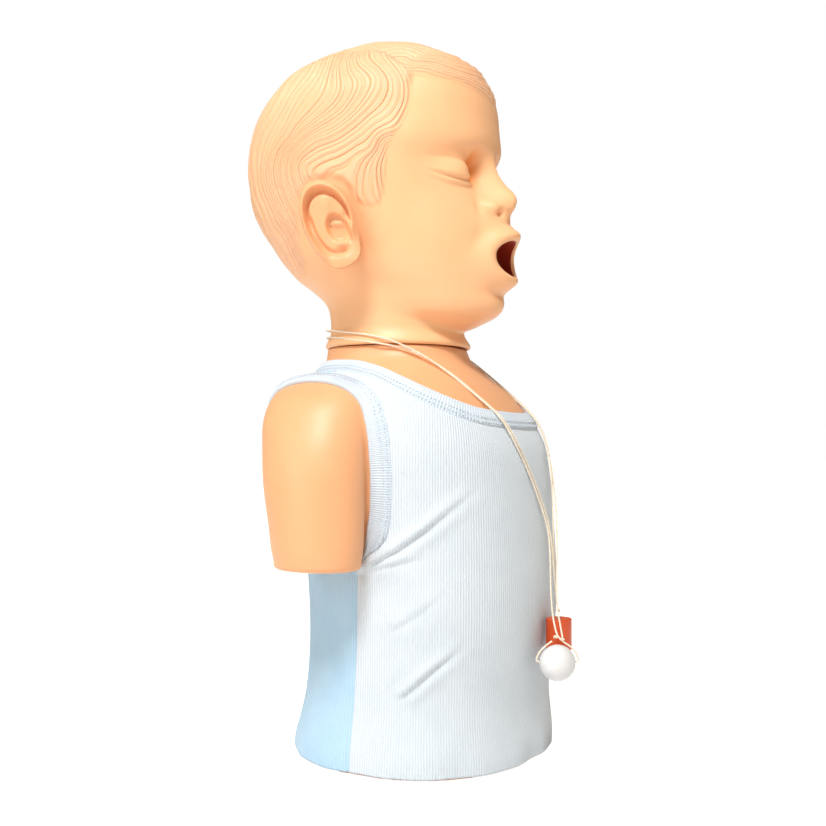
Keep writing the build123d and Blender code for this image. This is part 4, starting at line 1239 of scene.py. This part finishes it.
def ball_profile(radius, bore):
    """A ball with a rounded bore through it."""
    start = math.asin(bore * 1.35 / radius)
    rows = [(bore, -radius * 0.9)]
    for k in range(41):
        a = -math.pi / 2 + start + (math.pi - 2 * start) * k / 40
        rows.append((radius * math.cos(a), radius * math.sin(a)))
    rows.append((bore, radius * 0.9))
    rows.append((bore, 0.0))
    rows.append((bore, -radius * 0.9))
    return rows


def plug_profile(radius, half, bore):
    """A short rod with eased edges and a bore."""
    ease = 0.7
    rows = [(bore, -half), (bore * 1.3, -half), (radius - ease * 1.6, -half), (radius - ease, -half)]
    for k in range(1, 6):
        a = math.pi / 2 * k / 5
        rows.append((radius - ease + ease * math.sin(a), -half + ease - ease * math.cos(a)))
    rows += [(radius, -half * 0.5), (radius, 0), (radius, half * 0.5)]
    for k in range(5, -1, -1):
        a = math.pi / 2 * k / 5
        rows.append((radius - ease + ease * math.sin(a), half - ease + ease * math.cos(a)))
    rows += [(radius - ease * 1.6, half), (bore * 1.3, half), (bore, half), (bore, 0), (bore, -half)]
    return rows


def knot(name, at, size, seed):
    """A small overhand knot: a closed strand wound through itself."""
    facing = Vector((0.3 + seed, 0.2, 1)).to_track_quat("Z", "Y")
    route = []
    for a in np.arange(26) * 2 * math.pi / 26:
        x = math.sin(a) + 2 * math.sin(2 * a)
        y = math.cos(a) - 2 * math.cos(2 * a)
        spot = Vector((x, y, -math.sin(3 * a) * 1.2)) * size / 3.9
        spot.rotate(facing)
        route.append(Vector(at) + spot)
    only(twine_curve(name, route, size * 0.30, closed=True))
    bpy.ops.object.convert(target="MESH")
    bpy.ops.object.shade_smooth()
    return bpy.context.object


ball = turned_piece("ball_skin", ball_profile(11.8, 1.5), BALL_AT, BALL_SIDE, BALL_PLASTIC)
plug = turned_piece("plug_skin", plug_profile(8.6, PLUG_HALF, 1.5), PLUG_AT, (0, 0, 1), PLUG_PLASTIC)
ball_string = twine_curve("ball_string", BALL_ROUTE, STRING_RADIUS)
plug_string = twine_curve("plug_string", PLUG_ROUTE, STRING_RADIUS)
knots = [
    knot("ball_knot", beside_ball(-1.2, 17.0), 1.7, 0.0),
    knot("hitch_knot", beside_ball(3.3, 15.2), 1.5, 0.4),
    knot("plug_top_knot", beside_plug(0.4, 0.4, PLUG_HALF + 5.2), 1.6, 0.8),
    knot("plug_foot_knot", beside_plug(0, 0, -PLUG_HALF - 2.1), 1.6, 1.2),
]

# What each piece rides on, and the model's own parts that are hidden

for piece in (torso, vest, neck_band, *neck_stitches, *arm_bands, *arm_stitches, ball, plug, ball_string,
              plug_string, *knots):
    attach(piece, "torso")
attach(head, "head")
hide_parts("head_shell")
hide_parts("torso_shell")
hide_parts("vest_front", "vest_back")
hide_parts("neck_binding")
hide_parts("armhole_binding_right")
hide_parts("armhole_binding_left")
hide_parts("white_ball")
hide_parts("red_plug")
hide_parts("ball_cord")
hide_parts("plug_cord")
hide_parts("ball_knots")
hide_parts("plug_knots")

spline_length(ball_string)
spline_length(plug_string)

# Floor, backdrop and light


FLOOR_GLOW = 0.9


def pale_stage():
    """A white floor and world, seen as white but without lighting the object more."""
    m = Nodes("pale_floor")
    path = m.add("ShaderNodeLightPath").outputs
    seen = m.math("MAXIMUM", path["Is Camera Ray"], path["Is Glossy Ray"])
    seen = m.math("MAXIMUM", seen, path["Is Transmission Ray"])
    m.value(Base_Color=m.colours(m.object_noise(6.0, 3.0, 0.5), (0.86, 0.86, 0.86), (0.88, 0.88, 0.88)),
            Roughness=0.9, Emission_Color=(1, 1, 1, 1), Emission_Strength=m.math("MULTIPLY", seen, FLOOR_GLOW))
    deselect()
    bpy.ops.mesh.primitive_plane_add(size=30, location=(0, 0, 0))
    floor = bpy.context.object
    floor.name = "floor"
    floor.data.materials.append(m.material)
    world = bpy.data.worlds.new("studio")
    bpy.context.scene.world = world
    world.use_nodes = True
    tree = world.node_tree
    back = tree.nodes["Background"]
    back.inputs["Color"].default_value = (1.0, 0.88, 0.73, 1)
    back.inputs["Strength"].default_value = 0.40
    white = tree.nodes.new("ShaderNodeBackground")
    white.inputs["Color"].default_value = (1, 1, 1, 1)
    white.inputs["Strength"].default_value = 1.0
    path = tree.nodes.new("ShaderNodeLightPath")
    mix = tree.nodes.new("ShaderNodeMixShader")
    tree.links.new(path.outputs["Is Camera Ray"], mix.inputs[0])
    tree.links.new(back.outputs[0], mix.inputs[1])
    tree.links.new(white.outputs[0], mix.inputs[2])
    tree.links.new(mix.outputs[0], tree.nodes["World Output"].inputs["Surface"])


LIT_MIDDLE = Vector((0, 0, 0.27))


def lamp(name, at, size, power, colour):
    """A soft area light aimed at the figure's middle."""
    data = bpy.data.lights.new(name, "AREA")
    data.shape = "DISK"
    data.size = size
    data.energy = power
    data.color = colour
    light = bpy.data.objects.new(name, data)
    light.location = at
    light.rotation_euler = (Vector(at) - LIT_MIDDLE).to_track_quat("Z", "Y").to_euler()
    bpy.context.scene.collection.objects.link(light)


pale_stage()
lamp("key_light", (-1.35, -0.25, 2.15), 0.7, 57, (0.97, 0.985, 1.0))
lamp("left_light", (-1.7, 0.6, 0.8), 0.9, 8, (1.0, 0.98, 0.95))
lamp("fill_light", (-1.0, -1.9, 0.5), 1.4, 3, (1.0, 0.82, 0.62))

bpy.context.view_layer.update()
